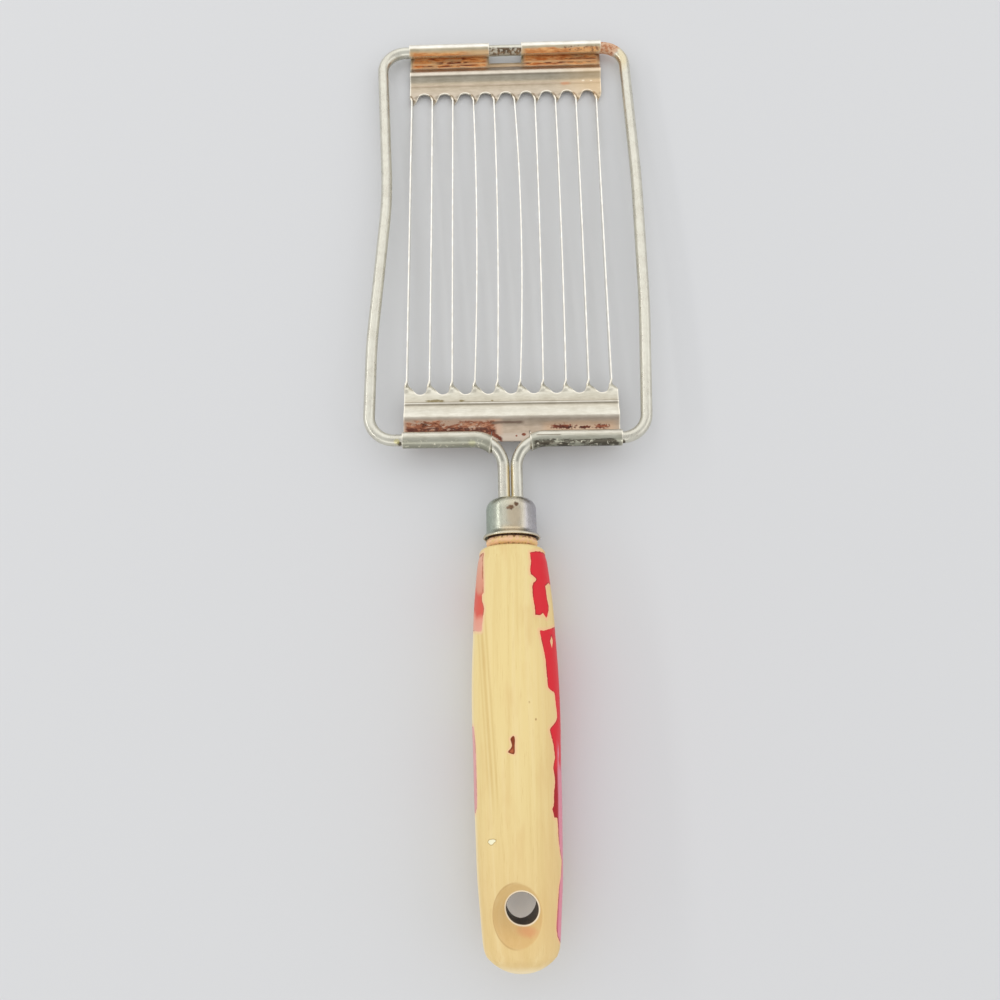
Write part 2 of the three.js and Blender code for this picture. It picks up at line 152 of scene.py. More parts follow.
class Sheet:
    """A node tree that is filled in by calls. A value may be a number, a colour or another node's output."""

    def __init__(self, tree):
        self.tree = tree

    def plug(self, value, socket):
        if isinstance(value, bpy.types.NodeSocket):
            self.tree.links.new(value, socket)
        else:
            socket.default_value = tone(*value) if socket.type == "RGBA" else value

    def node(self, kind, inputs=None, **settings):
        made = self.tree.nodes.new(kind)
        for name, value in settings.items():
            setattr(made, name, value)
        for name, value in (inputs or {}).items():
            self.plug(value, made.inputs[name])
        return made

    def math(self, operation, *values, clamp=False):
        inputs = dict(enumerate(values))
        return self.node("ShaderNodeMath", inputs, operation=operation, use_clamp=clamp).outputs[0]

    def minus(self, first, second, clamp=False):
        return self.math("SUBTRACT", first, second, clamp=clamp)

    def plus(self, start, value, factor=1.0):
        """The start plus a value times a factor."""
        return self.math("MULTIPLY_ADD", value, factor, start)

    def fold(self, operation, values):
        result = values[0]
        for value in values[1:]:
            result = self.math(operation, result, value)
        return result

    def times(self, *values):
        """The product of all values. Of masks it is 1 where all of them are 1."""
        return self.fold("MULTIPLY", values)


# %% A helper for materials
class Finish(Sheet):
    """A material's tree. Places are in millimetres on the object, so patterns have their real size."""

    def __init__(self, name, rough, metal=0.0):
        self.material = bpy.data.materials.new(name)
        self.material.use_nodes = True
        super().__init__(self.material.node_tree)
        self.shader = self.tree.nodes["Principled BSDF"]
        self.rough = rough
        self.metal = metal
        self.height = None
        place = self.node("ShaderNodeTexCoord").outputs["Object"]
        self.place = self.stretched(place, (1 / mm, 1 / mm, 1 / mm))
        self.x, self.y, self.z = self.node("ShaderNodeSeparateXYZ", {0: self.place}).outputs
        self.along = self.y

    def stretched(self, vector, scale, shift=(0, 0, 0)):
        inputs = {"Vector": vector, "Scale": scale, "Location": shift}
        return self.node("ShaderNodeMapping", inputs).outputs[0]

    def noise(self, scale, stretch=(1, 1, 1), shift=(0, 0, 0), detail=3, rough=0.55):
        """Noise from 0 to 1 with about `scale` lumps in a millimetre, before the stretch."""
        vector = self.stretched(self.place, stretch, shift)
        inputs = {"Vector": vector, "Scale": scale, "Detail": detail, "Roughness": rough}
        return self.node("ShaderNodeTexNoise", inputs).outputs["Fac"]

    def sway(self, scale, middle=0.5, **kind):
        """Noise that swings round zero."""
        return self.minus(self.noise(scale, **kind), middle)

    def spots(self, low, high, scale, **kind):
        """1 where a noise is above high, 0 where it is below low."""
        return self.step(self.noise(scale, **kind), low, high)

    def step(self, value, low, high):
        """0 below low, 1 above high, and a smooth rise between them. Turned round if low is the higher."""
        start, end = (0.0, 1.0) if low < high else (1.0, 0.0)
        inputs = {"Value": value, "From Min": min(low, high), "From Max": max(low, high)}
        inputs.update({"To Min": start, "To Max": end})
        return self.node("ShaderNodeMapRange", inputs, interpolation_type="SMOOTHSTEP").outputs[0]

    def window(self, value, low, high, soft):
        """1 between two places along a line, 0 outside."""
        rise = self.step(value, low - soft, low + soft)
        return self.times(rise, self.step(value, high + soft, high - soft))

    def columns(self, low, high, soft):
        """1 between two places across the tool."""
        return self.window(self.x, low, high, soft)

    def rows(self, low, high, soft):
        """1 between two places along the tool, or in what stands for it."""
        return self.window(self.along, low, high, soft)

    def past(self, low, high):
        """0 before a place along the tool and 1 past it, or the other way round if low is the higher."""
        return self.step(self.along, low, high)

    def length(self, across, along):
        """How long a straight line is that goes so far across and so far along."""
        return self.math("SQRT", self.plus(self.times(along, along), across, across))

    def patch(self, middle, reach, soft=0.5, ragged=0.0, scale=0.6):
        """A soft oval patch, across in x and along in y or in what stands for it. It is 1 at its middle and 0
        outside its reach, with a ragged edge if wanted."""
        across = self.math("DIVIDE", self.minus(self.x, middle[0]), reach[0])
        along = self.math("DIVIDE", self.minus(self.along, middle[1]), reach[1])
        far = self.length(across, along)
        if ragged:
            far = self.plus(far, self.sway(scale, detail=4), ragged)
        return self.step(far, 1.0, 1.0 - soft)

    def patches(self, *kinds):
        """Several patches in one mask, each with the values that `patch` takes."""
        return self.any(*[self.patch(*kind) for kind in kinds])

    def ramp(self, value, stops):
        """A colour that changes with a value, given as (value, red, green, blue) stops."""
        low, high = stops[0][0], stops[-1][0]
        inputs = {"Value": value, "From Min": low, "From Max": high}
        share = self.node("ShaderNodeMapRange", inputs).outputs[0]
        made = self.node("ShaderNodeValToRGB", {"Fac": share})
        elements = made.color_ramp.elements
        elements[0].color = tone(*stops[0][1:])
        elements[1].color = tone(*stops[-1][1:])
        for place, *colour in stops[1:-1]:
            elements.new((place - low) / (high - low)).color = tone(*colour)
        return made.outputs["Color"]

    def mix(self, share, first, second, way="MIX"):
        """A colour between two colours."""
        inputs = {"Factor": share, 6: first, 7: second}
        return self.node("ShaderNodeMix", inputs, data_type="RGBA", blend_type=way).outputs[2]

    def blend(self, share, first, second):
        """A number between two numbers."""
        return self.node("ShaderNodeMix", {0: share, 2: first, 3: second}, data_type="FLOAT").outputs[0]

    def tint(self, mask, colour, share=1.0):
        """Lays a colour over the one so far where the mask is 1."""
        self.colour = self.mix(self.times(mask, share), self.colour, colour)

    def any(self, *masks):
        """1 where one of the masks is 1."""
        return self.fold("MAXIMUM", masks)

    def stored(self, name):
        """A number that is stored on the mesh's points."""
        return self.node("ShaderNodeAttribute", attribute_name=name).outputs["Fac"]

    def finish(self):
        """Wires the results so far into the shader. The height is in millimetres."""
        results = {"Base Color": self.colour, "Roughness": self.rough, "Metallic": self.metal}
        if self.height is not None:
            bump = self.node("ShaderNodeBump", {"Height": self.height, "Strength": 1.0, "Distance": mm})
            results["Normal"] = bump.outputs[0]
        for name, value in results.items():
            self.plug(value, self.shader.inputs[name])
        return self.material


# %% [markdown]
# ## Light
# One large soft lamp stands beyond the far end, where the photograph's light came from. Others on either side
# and at the handle's end draw the bright lines along the wires and down the ferrule. The world fills the
# rest, so that a colour renders about as it is written.


# %% Make the lights
def soft_lamp(name, place, size, watts):
    """A lamp with an oblong face that is turned to the tool."""
    light = bpy.data.lights.new(name, "AREA")
    light.shape = "RECTANGLE"
    light.size, light.size_y = size
    light.energy = watts
    lamp = bpy.data.objects.new(name, light)
    lamp.location = place
    lamp.rotation_euler = (-Vector(place)).to_track_quat("-Z", "Y").to_euler()
    bpy.context.scene.collection.objects.link(lamp)


soft_lamp("key_lamp", (-0.1, 0.62, 0.6), (1.4, 0.9), 1.9)
soft_lamp("left_lamp", (-0.62, 0.02, 0.32), (0.9, 0.05), 0.6)
soft_lamp("right_lamp", (0.6, 0.05, 0.36), (0.9, 0.4), 0.6)
soft_lamp("end_lamp", (-0.1, -0.62, 0.34), (0.9, 0.3), 0.6)

world_light = 0.72
world = bpy.data.worlds.new("world")
world.use_nodes = True
world.node_tree.nodes["Background"].inputs["Color"].default_value = tone(252, 252, 253)
world.node_tree.nodes["Background"].inputs["Strength"].default_value = world_light
bpy.context.scene.world = world
bpy.context.scene.view_settings.view_transform = "Standard"


# %% [markdown]
# ## Helpers for meshes
# Most pieces here are stacks of rings: the handle, the ferrule. A loft joins each ring to the next with
# four-sided faces.


# %% Helpers for meshes
def new_piece(name, points, edges=(), faces=()):
    """A mesh object at the origin."""
    mesh = bpy.data.meshes.new(name)
    mesh.from_pydata([tuple(point) for point in points], edges, faces)
    piece = bpy.data.objects.new(name, mesh)
    bpy.context.scene.collection.objects.link(piece)
    return piece


def add_mesh(name, points, faces, material):
    piece = new_piece(name, points, faces=faces)
    piece.data.materials.append(material)
    piece.data.shade_smooth()
    return piece


def face_outwards(mesh):
    work = bmesh.new()
    work.from_mesh(mesh)
    bmesh.ops.remove_doubles(work, verts=work.verts, dist=0.001 * mm)
    bmesh.ops.recalc_face_normals(work, faces=work.faces)
    work.to_mesh(mesh)
    work.free()


def store_numbers(mesh, name, numbers):
    """Stores one number on each point of a mesh, for its material or its node tree."""
    mesh.attributes.new(name, "FLOAT", "POINT").data.foreach_set("value", numbers)


def bake(piece):
    """Runs the piece's modifiers and keeps the result as its plain mesh."""
    depsgraph = bpy.context.evaluated_depsgraph_get()
    made = bpy.data.meshes.new_from_object(piece.evaluated_get(depsgraph), depsgraph=depsgraph)
    piece.modifiers.clear()
    piece.data = made
    return made


def put_in_frame(piece, slot, *nodes):
    """The piece rides on the tool and stands for its nodes, which are hidden. The slot is not used."""
    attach(piece, "root")
    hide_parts(*nodes)
    print(piece.name, "has", len(piece.data.polygons), "faces")


def band(above, below):
    """Faces between two closed loops of point numbers."""
    pairs = [(i, (i + 1) % len(above)) for i in range(len(above))]
    return [(above[i], above[after], below[after], below[i]) for i, after in pairs]


def loft_faces(count, rings):
    """Faces between rings of `count` points each, from point 0 on."""
    loops = [range(ring * count, (ring + 1) * count) for ring in range(rings)]
    return [face for above, below in zip(loops, loops[1:]) for face in band(above, below)]


def around(count):
    """The angles of points that go once round."""
    return [2 * math.pi * i / count for i in range(count)]


def shares(steps, first=0):
    """Even shares up to 1. They start at 0, or a few steps later."""
    return [i / steps for i in range(first, steps + 1)]


def smooth_step(share):
    share = min(max(share, 0.0), 1.0)
    return share * share * (3 - 2 * share)


def between(low, high, share):
    return low + (high - low) * share


def read_curve(rows, place):
    """A smooth curve through [place, value] rows, read at a place."""
    if place <= rows[0][0]:
        return rows[0][1]
    if place >= rows[-1][0]:
        return rows[-1][1]
    last = len(rows) - 1
    right = next(i for i, row in enumerate(rows) if row[0] > place)
    left = right - 1

    def slope(i):
        before, after = rows[max(i - 1, 0)], rows[min(i + 1, last)]
        return (after[1] - before[1]) / (after[0] - before[0])

    width = rows[right][0] - rows[left][0]
    t = (place - rows[left][0]) / width
    start, end = rows[left][1], rows[right][1]
    pull_out, pull_in = slope(left) * width, slope(right) * width
    return (
        (2 * t**3 - 3 * t**2 + 1) * start
        + (t**3 - 2 * t**2 + t) * pull_out
        + (3 * t**2 - 2 * t**3) * end
        + (t**3 - t**2) * pull_in
    )


# %% [markdown]
# ## Steel finishes
# The frame wire is bright drawn steel with a warm cast. The stamped grid is tinned sheet that has rusted
# where food stays wet: in the groove beside each curled tab. Rust isn't metallic and is rough, so the same
# mask that turns the colour brown also lowers the metallic value and raises the roughness.


# %% A steel that rusts
def steel(name, light, dark, roughness, lines=(1, 1, 1)):
    """Clean steel with faint cloudy marks. The caller adds its rust and then finishes it."""
    look = Finish(name, roughness, metal=1.0)
    cloud = look.noise(0.25, detail=3)
    fine = look.noise(2.2, stretch=lines, detail=4, rough=0.65)
    share = look.plus(look.times(cloud, 0.5), fine, 0.5)
    look.colour = look.mix(look.step(share, 0.35, 0.65), dark, light)
    look.rough = look.plus(roughness - 0.1, share, 0.22)
    look.height = look.times(fine, 0.012)
    return look


def add_rust(look, mask, light, middle, dark, grain=(0.4, 1, 1), darkness=0.45, depth=0.06):
    """Rust where the mask is 1: three browns in streaks, rough, and a little raised."""
    streak = look.noise(1.3, stretch=grain, detail=5, rough=0.68)
    blotch = look.noise(0.5, stretch=grain, shift=(3, 5, 1), detail=4, rough=0.6)
    mixed = look.plus(look.times(blotch, 0.45), streak, 0.55)
    brown = look.mix(look.step(mixed, darkness + 0.02, darkness + 0.13), middle, light)
    brown = look.mix(look.step(mixed, darkness, darkness - 0.06), brown, dark)
    look.colour = look.mix(mask, look.colour, brown)
    look.rough = look.blend(mask, look.rough, 0.8)
    look.metal = look.minus(look.metal, mask, clamp=True)
    look.height = look.plus(look.height, look.times(streak, mask), depth)


def add_stain(look, mask, colour, share):
    """A thin film that hides most of the metal's shine."""
    look.tint(mask, colour, share)
    look.metal = look.minus(look.metal, look.times(mask, share * 0.7), clamp=True)
    look.rough = look.plus(look.rough, mask, share * 0.2)


# %% [markdown]
# ## The frame wire
# One wire runs from the left tang up the neck, round the rectangle and back down. Its rule is simple: a few
# corner points, each with its own bend radius. That is what Geometry Nodes are good at. Fillet Curve rounds
# each corner by the radius stored on its point, and Curve to Mesh runs a circle along the path.

# %% The wire's corners, as reach from the tool's middle and height above the frame's bottom
neck_half = wire_radius + 0.125 * mm
neck_bend = 8 * mm
neck_middle = handle_shift(frame_bottom)
corner_bend = 7 * mm
kink_bend = 150 * mm
bow_bend = 400 * mm
wire_clearance = 0.01 * mm
frame_length = frame_top - frame_bottom


def tang_corner(side):
    return handle_shift(tang_end) + side * neck_half, tang_end - frame_bottom, 0


def top_corner(reach):
    return reach, frame_length + far_end_shift(middle_x + reach), corner_bend


wire_corners = [
    tang_corner(-1),
    (neck_middle - neck_half, 0, neck_bend),
    (-38.8 * mm, 0, corner_bend),
    (-38.65 * mm, 29 * mm, kink_bend),
    (-35.35 * mm, 76.3 * mm, kink_bend),
    top_corner(-38.05 * mm),
    top_corner(37.2 * mm),
    (38.85 * mm, 82.3 * mm, bow_bend),
    (38.75 * mm, 40.3 * mm, bow_bend),
    (37 * mm, 0, corner_bend),
    (neck_middle + neck_half, 0, neck_bend),
    tang_corner(1),
]


# %% A helper for Geometry Nodes
class Builder(Sheet):
    """A Geometry Nodes tree with named inputs."""

    def __init__(self, name):
        super().__init__(bpy.data.node_groups.new(name, "GeometryNodeTree"))
        self.tree.interface.new_socket("Geometry", in_out="INPUT", socket_type="NodeSocketGeometry")
        self.tree.interface.new_socket("Geometry", in_out="OUTPUT", socket_type="NodeSocketGeometry")
        self.start = self.node("NodeGroupInput")
        self.end = self.node("NodeGroupOutput")
        self.values = {}

    def size(self, name, value):
        kind = "NodeSocketInt" if isinstance(value, int) else "NodeSocketFloat"
        socket = self.tree.interface.new_socket(name, in_out="INPUT", socket_type=kind)
        self.values[socket.identifier] = value
        return self.start.outputs[name]

    def attribute(self, name):
        return self.node("GeometryNodeInputNamedAttribute", {"Name": name}, data_type="FLOAT").outputs[0]

    def finish(self, geometry, material):
        real = self.node("GeometryNodeRealizeInstances", {0: geometry}).outputs[0]
        smooth = self.node("GeometryNodeSetShadeSmooth", {0: real}).outputs[0]
        done = self.node("GeometryNodeSetMaterial", {"Geometry": smooth, "Material": material})
        self.plug(done.outputs[0], self.end.inputs[0])

    def build(self, name, points, edges, attributes, sharp_angle):
        """Runs the tree on a few points and returns the result as a plain mesh object."""
        piece = new_piece(name, points, edges)
        for key, numbers in attributes.items():
            store_numbers(piece.data, key, numbers)
        modifier = piece.modifiers.new("build", "NODES")
        modifier.node_group = self.tree
        for identifier, value in self.values.items():
            modifier[identifier] = value
        made = bake(piece)
        made.name = name
        face_outwards(made)
        made.set_sharp_from_angle(angle=sharp_angle)
        return piece


# %% The wire's finish
def along_bend(look, side):
    """1 along the middle of the bend that leads from the frame into the neck."""
    across = look.minus(look.x, (middle_x + neck_middle + side * (neck_half + neck_bend)) / mm)
    far = look.length(across, look.minus(look.y, (frame_bottom - neck_bend) / mm))
    ring = look.window(far, neck_bend / mm - 0.45, neck_bend / mm + 0.3, 0.2)
    return look.times(ring, look.step(across, side * 8.5, side * 7.5))


def neck_distance(look):
    """How far a place is from the line between the two necks."""
    lean = look.times(look.minus(lean_centre / mm, look.y), math.tan(handle_lean))
    return look.minus(look.minus(look.x, middle_x / mm), lean)


def wire_finish():
    look = steel("bright_wire", (224, 222, 208), (208, 204, 190), 0.28, lines=(1, 0.3, 1))
    look.height = look.times(look.height, 0.4)
    top, near, front = frame_top / mm, frame_bottom / mm, wire_height / mm
    corner = look.patch((32.8, top + 0.4), (4.2, 3.6), soft=0.3, ragged=0.8, scale=0.7)
    corner = look.times(corner, look.step(look.y, top + 1.75, top + 1.2))
    add_stain(look, corner, (224, 178, 140), 0.85)
    dots = look.times(corner, look.spots(0.44, 0.56, 1.0, detail=5, rough=0.65))
    add_rust(look, dots, (214, 158, 116), (186, 118, 78), (122, 66, 42))
    tinge = look.patch((36.6, top - 4.5), (2.4, 7), soft=0.8, ragged=0.5)
    look.tint(tinge, (230, 208, 150), 0.45)
    ends = look.patch((-30.2, near - 1.3), (0.75, 0.6), soft=0.5, ragged=0.9, scale=1.2)
    ends = look.any(ends, look.patch((30.4, near - 1.5), (0.75, 0.5), soft=0.5, ragged=0.9, scale=1.2))
    add_rust(look, ends, (120, 110, 90), (80, 72, 58), (44, 38, 30))
    look.tint(look.patch((-30.9, near - 0.8), (1.1, 0.9), soft=0.6, ragged=0.5), (222, 212, 140), 0.6)
    bare = look.times(look.columns(-4.7, 5.4, 0.3), look.step(look.y, top - 2.4, top - 1.4))
    marks = look.times(bare, look.step(look.y, top - 0.1, top - 0.7), look.step(look.z, front - 0.6, front))
    add_stain(look, marks, (176, 166, 144), 0.7)
    marks = look.times(marks, look.spots(0.45, 0.5, 0.9, shift=(2, 0, 0), detail=5, rough=0.65))
    add_rust(look, marks, (150, 122, 90), (96, 76, 54), (52, 40, 30))
    bends = look.any(along_bend(look, -1), along_bend(look, 1))
    low_part = look.window(look.y, near - 7, near - 2.6, 0.5)
    bends = look.times(bends, low_part, look.step(look.z, front, front + 0.8))
    look.tint(bends, (118, 118, 108), 0.6)
    inner = neck_distance(look)
    below = look.step(look.y, near - 6.5, near - 9)
    look.tint(look.times(look.window(inner, -1.0, 0, 0.3), below), (216, 190, 134), 0.45)
    look.tint(look.times(look.window(inner, 0, 0.8, 0.3), below), (240, 220, 160), 0.5)
    return look.finish()


# %% Build the wire
def wire_tree(material):
    tree = Builder("bent_wire")
    radius = tree.size("Wire radius", wire_radius - wire_clearance)
    steps = tree.size("Steps in a bend", 24)
    sides = tree.size("Sides", 24)
    path = tree.node("GeometryNodeMeshToCurve", {0: tree.start.outputs[0]}).outputs[0]
    bends = tree.node("GeometryNodeFilletCurve", {"Curve": path, "Count": steps}, mode="POLY")
    tree.plug(tree.attribute("bend_radius"), bends.inputs["Radius"])
    ring = tree.node("GeometryNodeCurvePrimitiveCircle", {"Radius": radius, "Resolution": sides})
    tube = tree.node("GeometryNodeCurveToMesh", {"Curve": bends.outputs[0], "Fill Caps": True})
    tree.plug(ring.outputs[0], tube.inputs["Profile Curve"])
    tree.finish(tube.outputs[0], material)
    return tree


def make_wire():
    points = [(middle_x + x, frame_bottom + y, wire_height) for x, y, _ in wire_corners]
    edges = [(i, i + 1) for i in range(len(points) - 1)]
    bends = [bend for _, _, bend in wire_corners]
    tree = wire_tree(wire_finish())
    wire = tree.build("bent_frame_wire", points, edges, {"bend_radius": bends}, 50 * degree)
    put_in_frame(wire, "wire_steel", "frame_wire")


make_wire()

# %% [markdown]
# ## The two bars of the blade grid
# Each bar is pressed from thin sheet. From the blades outwards it has a fine bead, a rib for stiffness, a
# groove, and two tabs that curl round the frame wire. The blades leave it as strips that turn on edge. The
# bar is drawn here as the middle surface of the sheet: a line across the bar that runs along it. Solidify
# then gives the sheet its thickness and a small bevel softens its cut edges.

# %% The line across a bar
edge_flat = 2.2 * mm
bead_width = 0.9 * mm
bead_height = 0.3 * mm
far_bead_share = 0.3
rib_start, rib_crest, rib_end = 3.4 * mm, 7 * mm, 9.6 * mm
rib_height = 1 * mm
curl_radius = wire_radius + 0.18 * mm + sheet_thickness / 2
curl_turn = 250 * degree
far_notch = (-4.7 * mm, 5.4 * mm)
near_notch = (-5.325 * mm, 5.325 * mm)
notch_depth = 10.95 * mm
slit_depth = 3 * mm
slit_width = 0.2 * mm
slant_share = 0.3
twist_start = 0.3 * mm
slot_radius = (blade_pitch - strip_width) / 2
slot_steps = 10
twist_steps = 12
web_step = 0.15 * mm
strip_columns = [i / 10 for i in range(-10, 11)]
least_step = blade_pitch / 40
sheet_rounding = 0.07 * mm


def web_rise(reach, end):
    """How far the sheet is pressed forwards at a distance from the blades. The far bead wore down and is
    lower.
    """
    bead = max(0.0, 1 - abs(reach - edge_flat - bead_width / 2) / (bead_width / 2))
    rise = smooth_step((reach - rib_start) / (rib_crest - rib_start))
    fall = smooth_step((rib_end - reach) / (rib_end - rib_crest))
    wear_and_glare = far_bead_share if end > 0 else 1
    return wear_and_glare * bead_height * smooth_step(bead) + rib_height * min(rise, fall)


def web_rows(end):
    """Places across the web, closer together at the bead."""
    rows = [0.0]
    while rows[-1] + web_step < end:
        at_bead = edge_flat - web_step < rows[-1] < rib_start
        rows.append(rows[-1] + (web_step if at_bead else 2 * web_step))
    return rows + [end]


# %% The strips that become blades
def strip_x(index):
    return grid_middle + (index - (len(blade_boxes) - 1) / 2) * blade_pitch


def strip_spread(index, distance):
    """How far the columns of a strip are from its middle line, at a distance from the roots' line."""
    inside = min(max(slot_radius - distance, 0.0), slot_radius)
    beside_slot = blade_pitch / 2 - math.sqrt(slot_radius**2 - inside**2)
    left = strip_width / 2 if index == 0 else beside_slot
    right = strip_width / 2 if index == len(blade_boxes) - 1 else beside_slot
    return [share * (left if share < 0 else right) for share in strip_columns]


def root_point(index, across, distance, end):
    """A point of the twisted root of a blade. The strip's left side comes up."""
    turned = smooth_step((distance - twist_start) / (root_length - twist_start))
    angle = 90 * degree * turned
    x = strip_x(index) + across * math.cos(angle) + blade_offset * turned
    y = near_roots + distance
    if end > 0:
        y = far_roots - distance + far_end_shift(x) * max(0.0, 1 - distance / root_length)
    return Vector((x, y, sheet_height - across * math.sin(angle)))


def root_rows():
    rows = [slot_radius * (1 - math.cos(90 * degree * share)) for share in shares(slot_steps)]
    return rows + [between(slot_radius, root_length, share) for share in shares(twist_steps, 1)]


def to_cut(x, distance):
    """How far a place on the flat sheet is from the nearest slot or from the sheet's own side."""
    first, last = strip_x(0), strip_x(len(blade_boxes) - 1)
    beside = min(x - first, last - x) + strip_width / 2
    slot = min(max(round((x - first) / blade_pitch - 0.5), 0), len(blade_boxes) - 2)
    slot_x = first + (slot + 0.5) * blade_pitch
    return min(beside, math.hypot(x - slot_x, max(slot_radius - distance, 0.0)) - slot_radius)


# %% The curled tabs
def curl_point(share):
    """Reach and rise of a tab's middle surface: flat behind the wire, then round it and over its front."""
    angle = curl_turn * share - 90 * degree
    return web_reach + curl_radius * math.cos(angle), curl_radius * (1 + math.sin(angle))


def follow_neck(point):
    """The near tabs bend down with the wire where it turns into the neck. Their ends are cut at a slant."""
    bend_start = neck_half + neck_bend
    centre_x = middle_x + neck_middle
    past = bend_start - abs(point.x - centre_x)
    start = frame_bottom + slit_depth
    if past <= 0 or point.y >= start:
        return point
    side = math.copysign(1, point.x - centre_x)
    from_centre = point.y - frame_bottom + neck_bend
    curled = point.z > sheet_height + sheet_thickness
    slant = slant_share * (from_centre / neck_bend - 1) if curled else 0.0
    across = past * (1 + slant)
    drop = from_centre - math.sqrt(from_centre**2 - across**2)
    if not curled:
        drop *= smooth_step((start - point.y) / slit_depth)
    return Vector((centre_x + side * (bend_start - across), point.y - drop, point.z))


# %% Build a bar
curl_steps = 40
tab_steps = 8


class Grid:
    """Collects the points and faces of a sheet's middle surface, row by row, and how far each point is from
    the sheet's cut edge."""

    def __init__(self):
        self.points = []
        self.cuts = []
        self.faces = []

    def add(self, rows, cuts):
        first = len(self.points)
        width = len(rows[0])
        for row, distances in zip(rows, cuts):
            self.points.extend(row)
            self.cuts.extend(distances)
        for i in range(len(rows) - 1):
            for j in range(width - 1):
                low = first + i * width + j
                self.faces.append((low, low + 1, low + width + 1, low + width))


def bar_point(x, reach, rise, end):
    roots = far_roots + far_end_shift(x) if end > 0 else near_roots
    return Vector((x, roots + end * reach, sheet_height + rise))


def web_row(xs, reach, end):
    return [bar_point(x, reach, web_rise(reach, end), end) for x in xs]


def bar_surface(end):
    """The middle surface of a bar: +1 for the far one, -1 for the near one."""
    grid = Grid()
    all_x = []
    for index in range(len(blade_boxes)):
        rows, cuts = [], []
        for distance in root_rows():
            spread = strip_spread(index, distance)
            rows.append([root_point(index, across, distance, end) for across in spread])
            cuts.append([to_cut(strip_x(index) + across, distance) for across in spread])
        grid.add(rows, cuts)
        xs = [strip_x(index) + across for across in strip_spread(index, 0.0)]
        all_x += xs if index == 0 else xs[1:]
    left, right = [middle_x + x for x in (far_notch if end > 0 else near_notch)]
    left_x = [x for x in all_x if x < left - least_step] + [left]
    right_x = [right] + [x for x in all_x if x > right + least_step]
    between_x = [x for x in all_x if left + least_step < x < right - least_step]
    web_x = left_x + between_x + right_x
    web_end = notch_depth if end > 0 else web_reach - slit_depth
    reaches = web_rows(web_end)
    cuts = [[to_cut(x, -reach) for x in web_x] for reach in reaches]
    grid.add([web_row(web_x, reach, end) for reach in reaches], cuts)
    reaches = [between(web_end, web_reach, share) for share in shares(tab_steps)]
    if end < 0:
        tongue_x = [left + slit_width] + between_x + [right - slit_width]
        cuts = [[web_reach - reach] * len(tongue_x) for reach in reaches]
        grid.add([web_row(tongue_x, reach, end) for reach in reaches], cuts)
    for tab_x in (left_x, right_x):
        rows = [web_row(tab_x, reach, end) for reach in reaches]
        for reach, rise in [curl_point(share) for share in shares(curl_steps, 1)]:
            rows.append([bar_point(x, reach, rise, end) for x in tab_x])
        if end < 0:
            rows = [[follow_neck(point) for point in row] for row in rows]
        to_side = [min(x - tab_x[0], tab_x[-1] - x) for x in tab_x]
        grid.add(rows, [to_side] * len(rows))
    return grid


def make_bar(name, node, end, material):
    grid = bar_surface(end)
    bar = add_mesh(name, grid.points, grid.faces, material)
    store_numbers(bar.data, "cut_distance", [distance / mm for distance in grid.cuts])
    face_outwards(bar.data)
    solid = bar.modifiers.new("thickness", "SOLIDIFY")
    solid.thickness = sheet_thickness
    solid.offset = 0
    solid.use_even_offset = True
    soft = bar.modifiers.new("edges", "BEVEL")
    soft.width = sheet_rounding
    soft.segments = 2
    soft.limit_method = "ANGLE"
    soft.angle_limit = 50 * degree
    bake(bar).set_sharp_from_angle(angle=40 * degree)
    put_in_frame(bar, "sheet_steel", node)


# %% The bars' finish
# Colours across each bar in mm from its roots. Besides the sheet's own tones they hold painted light: painted
# shade beside the beads, under the far rib's crest and in the near rib's valley, painted highlights on the
# near bead, on the far rib's crest and along the tops of the curled tabs, and painted shade on the near tabs'
# lower faces.
far_tones_and_light = [
    (0, 207, 194, 175), (2.2, 196, 182, 160), (2.55, 178, 162, 141), (2.9, 205, 190, 169),
    (3.7, 196, 182, 159), (4.4, 190, 181, 162), (5.4, 184, 177, 160), (5.9, 146, 138, 124),
    (6.15, 194, 184, 167), (6.4, 236, 228, 212), (6.9, 224, 214, 198), (7.6, 212, 198, 182),
    (9.2, 210, 192, 176), (9.8, 226, 198, 164), (12, 218, 206, 178), (13.3, 208, 198, 172),
    (13.8, 255, 252, 242), (16.5, 250, 246, 234),
]
near_tones_and_light = [
    (0, 232, 228, 212), (1.5, 222, 216, 198), (2.2, 212, 204, 186), (2.45, 170, 160, 142),
    (2.65, 244, 240, 228), (2.95, 150, 142, 126), (3.3, 196, 188, 170), (3.9, 222, 216, 200),
    (5, 232, 228, 214), (6.7, 236, 232, 218), (7.3, 214, 204, 188), (7.9, 180, 166, 150),
    (9, 204, 186, 166), (11.6, 206, 188, 168), (12.1, 196, 188, 174), (12.5, 246, 242, 230),
    (13, 240, 236, 222), (13.6, 206, 203, 188), (14.6, 196, 195, 180), (16.5, 172, 172, 156),
]


def start_bar(name, end, colours):
    """Tinned sheet whose colour follows the pressing across the bar, with painted shade and painted
    highlights on the bead, the rib and the curled tabs. Also says where a tab's front is.
    """
    look = steel(name, (255, 255, 255), (232, 230, 226), 0.3, lines=(0.2, 1, 1))
    roots = (far_roots if end > 0 else near_roots) / mm
    look.along = look.times(look.minus(look.y, roots), float(end))
    if end > 0:
        lean = look.times(look.minus(look.x, middle_x / mm), math.tan(far_end_lean))
        look.along = look.minus(look.along, lean)
    look.colour = look.mix(1.0, look.colour, look.ramp(look.along, colours), "MULTIPLY")
    height = sheet_height / mm
    curled = look.times(look.step(look.z, height + 1, height + 1.6), look.past(11, 11.4))
    return look, curled


def brighten_cuts(look):
    """The cut edges of the sheet are painted bright: partly bare steel rubbed bright, partly a painted
    highlight where the thin edges catch the light.
    """
    look.tint(look.step(look.stored("cut_distance"), 0.42, 0.12), (252, 246, 230), 0.85)


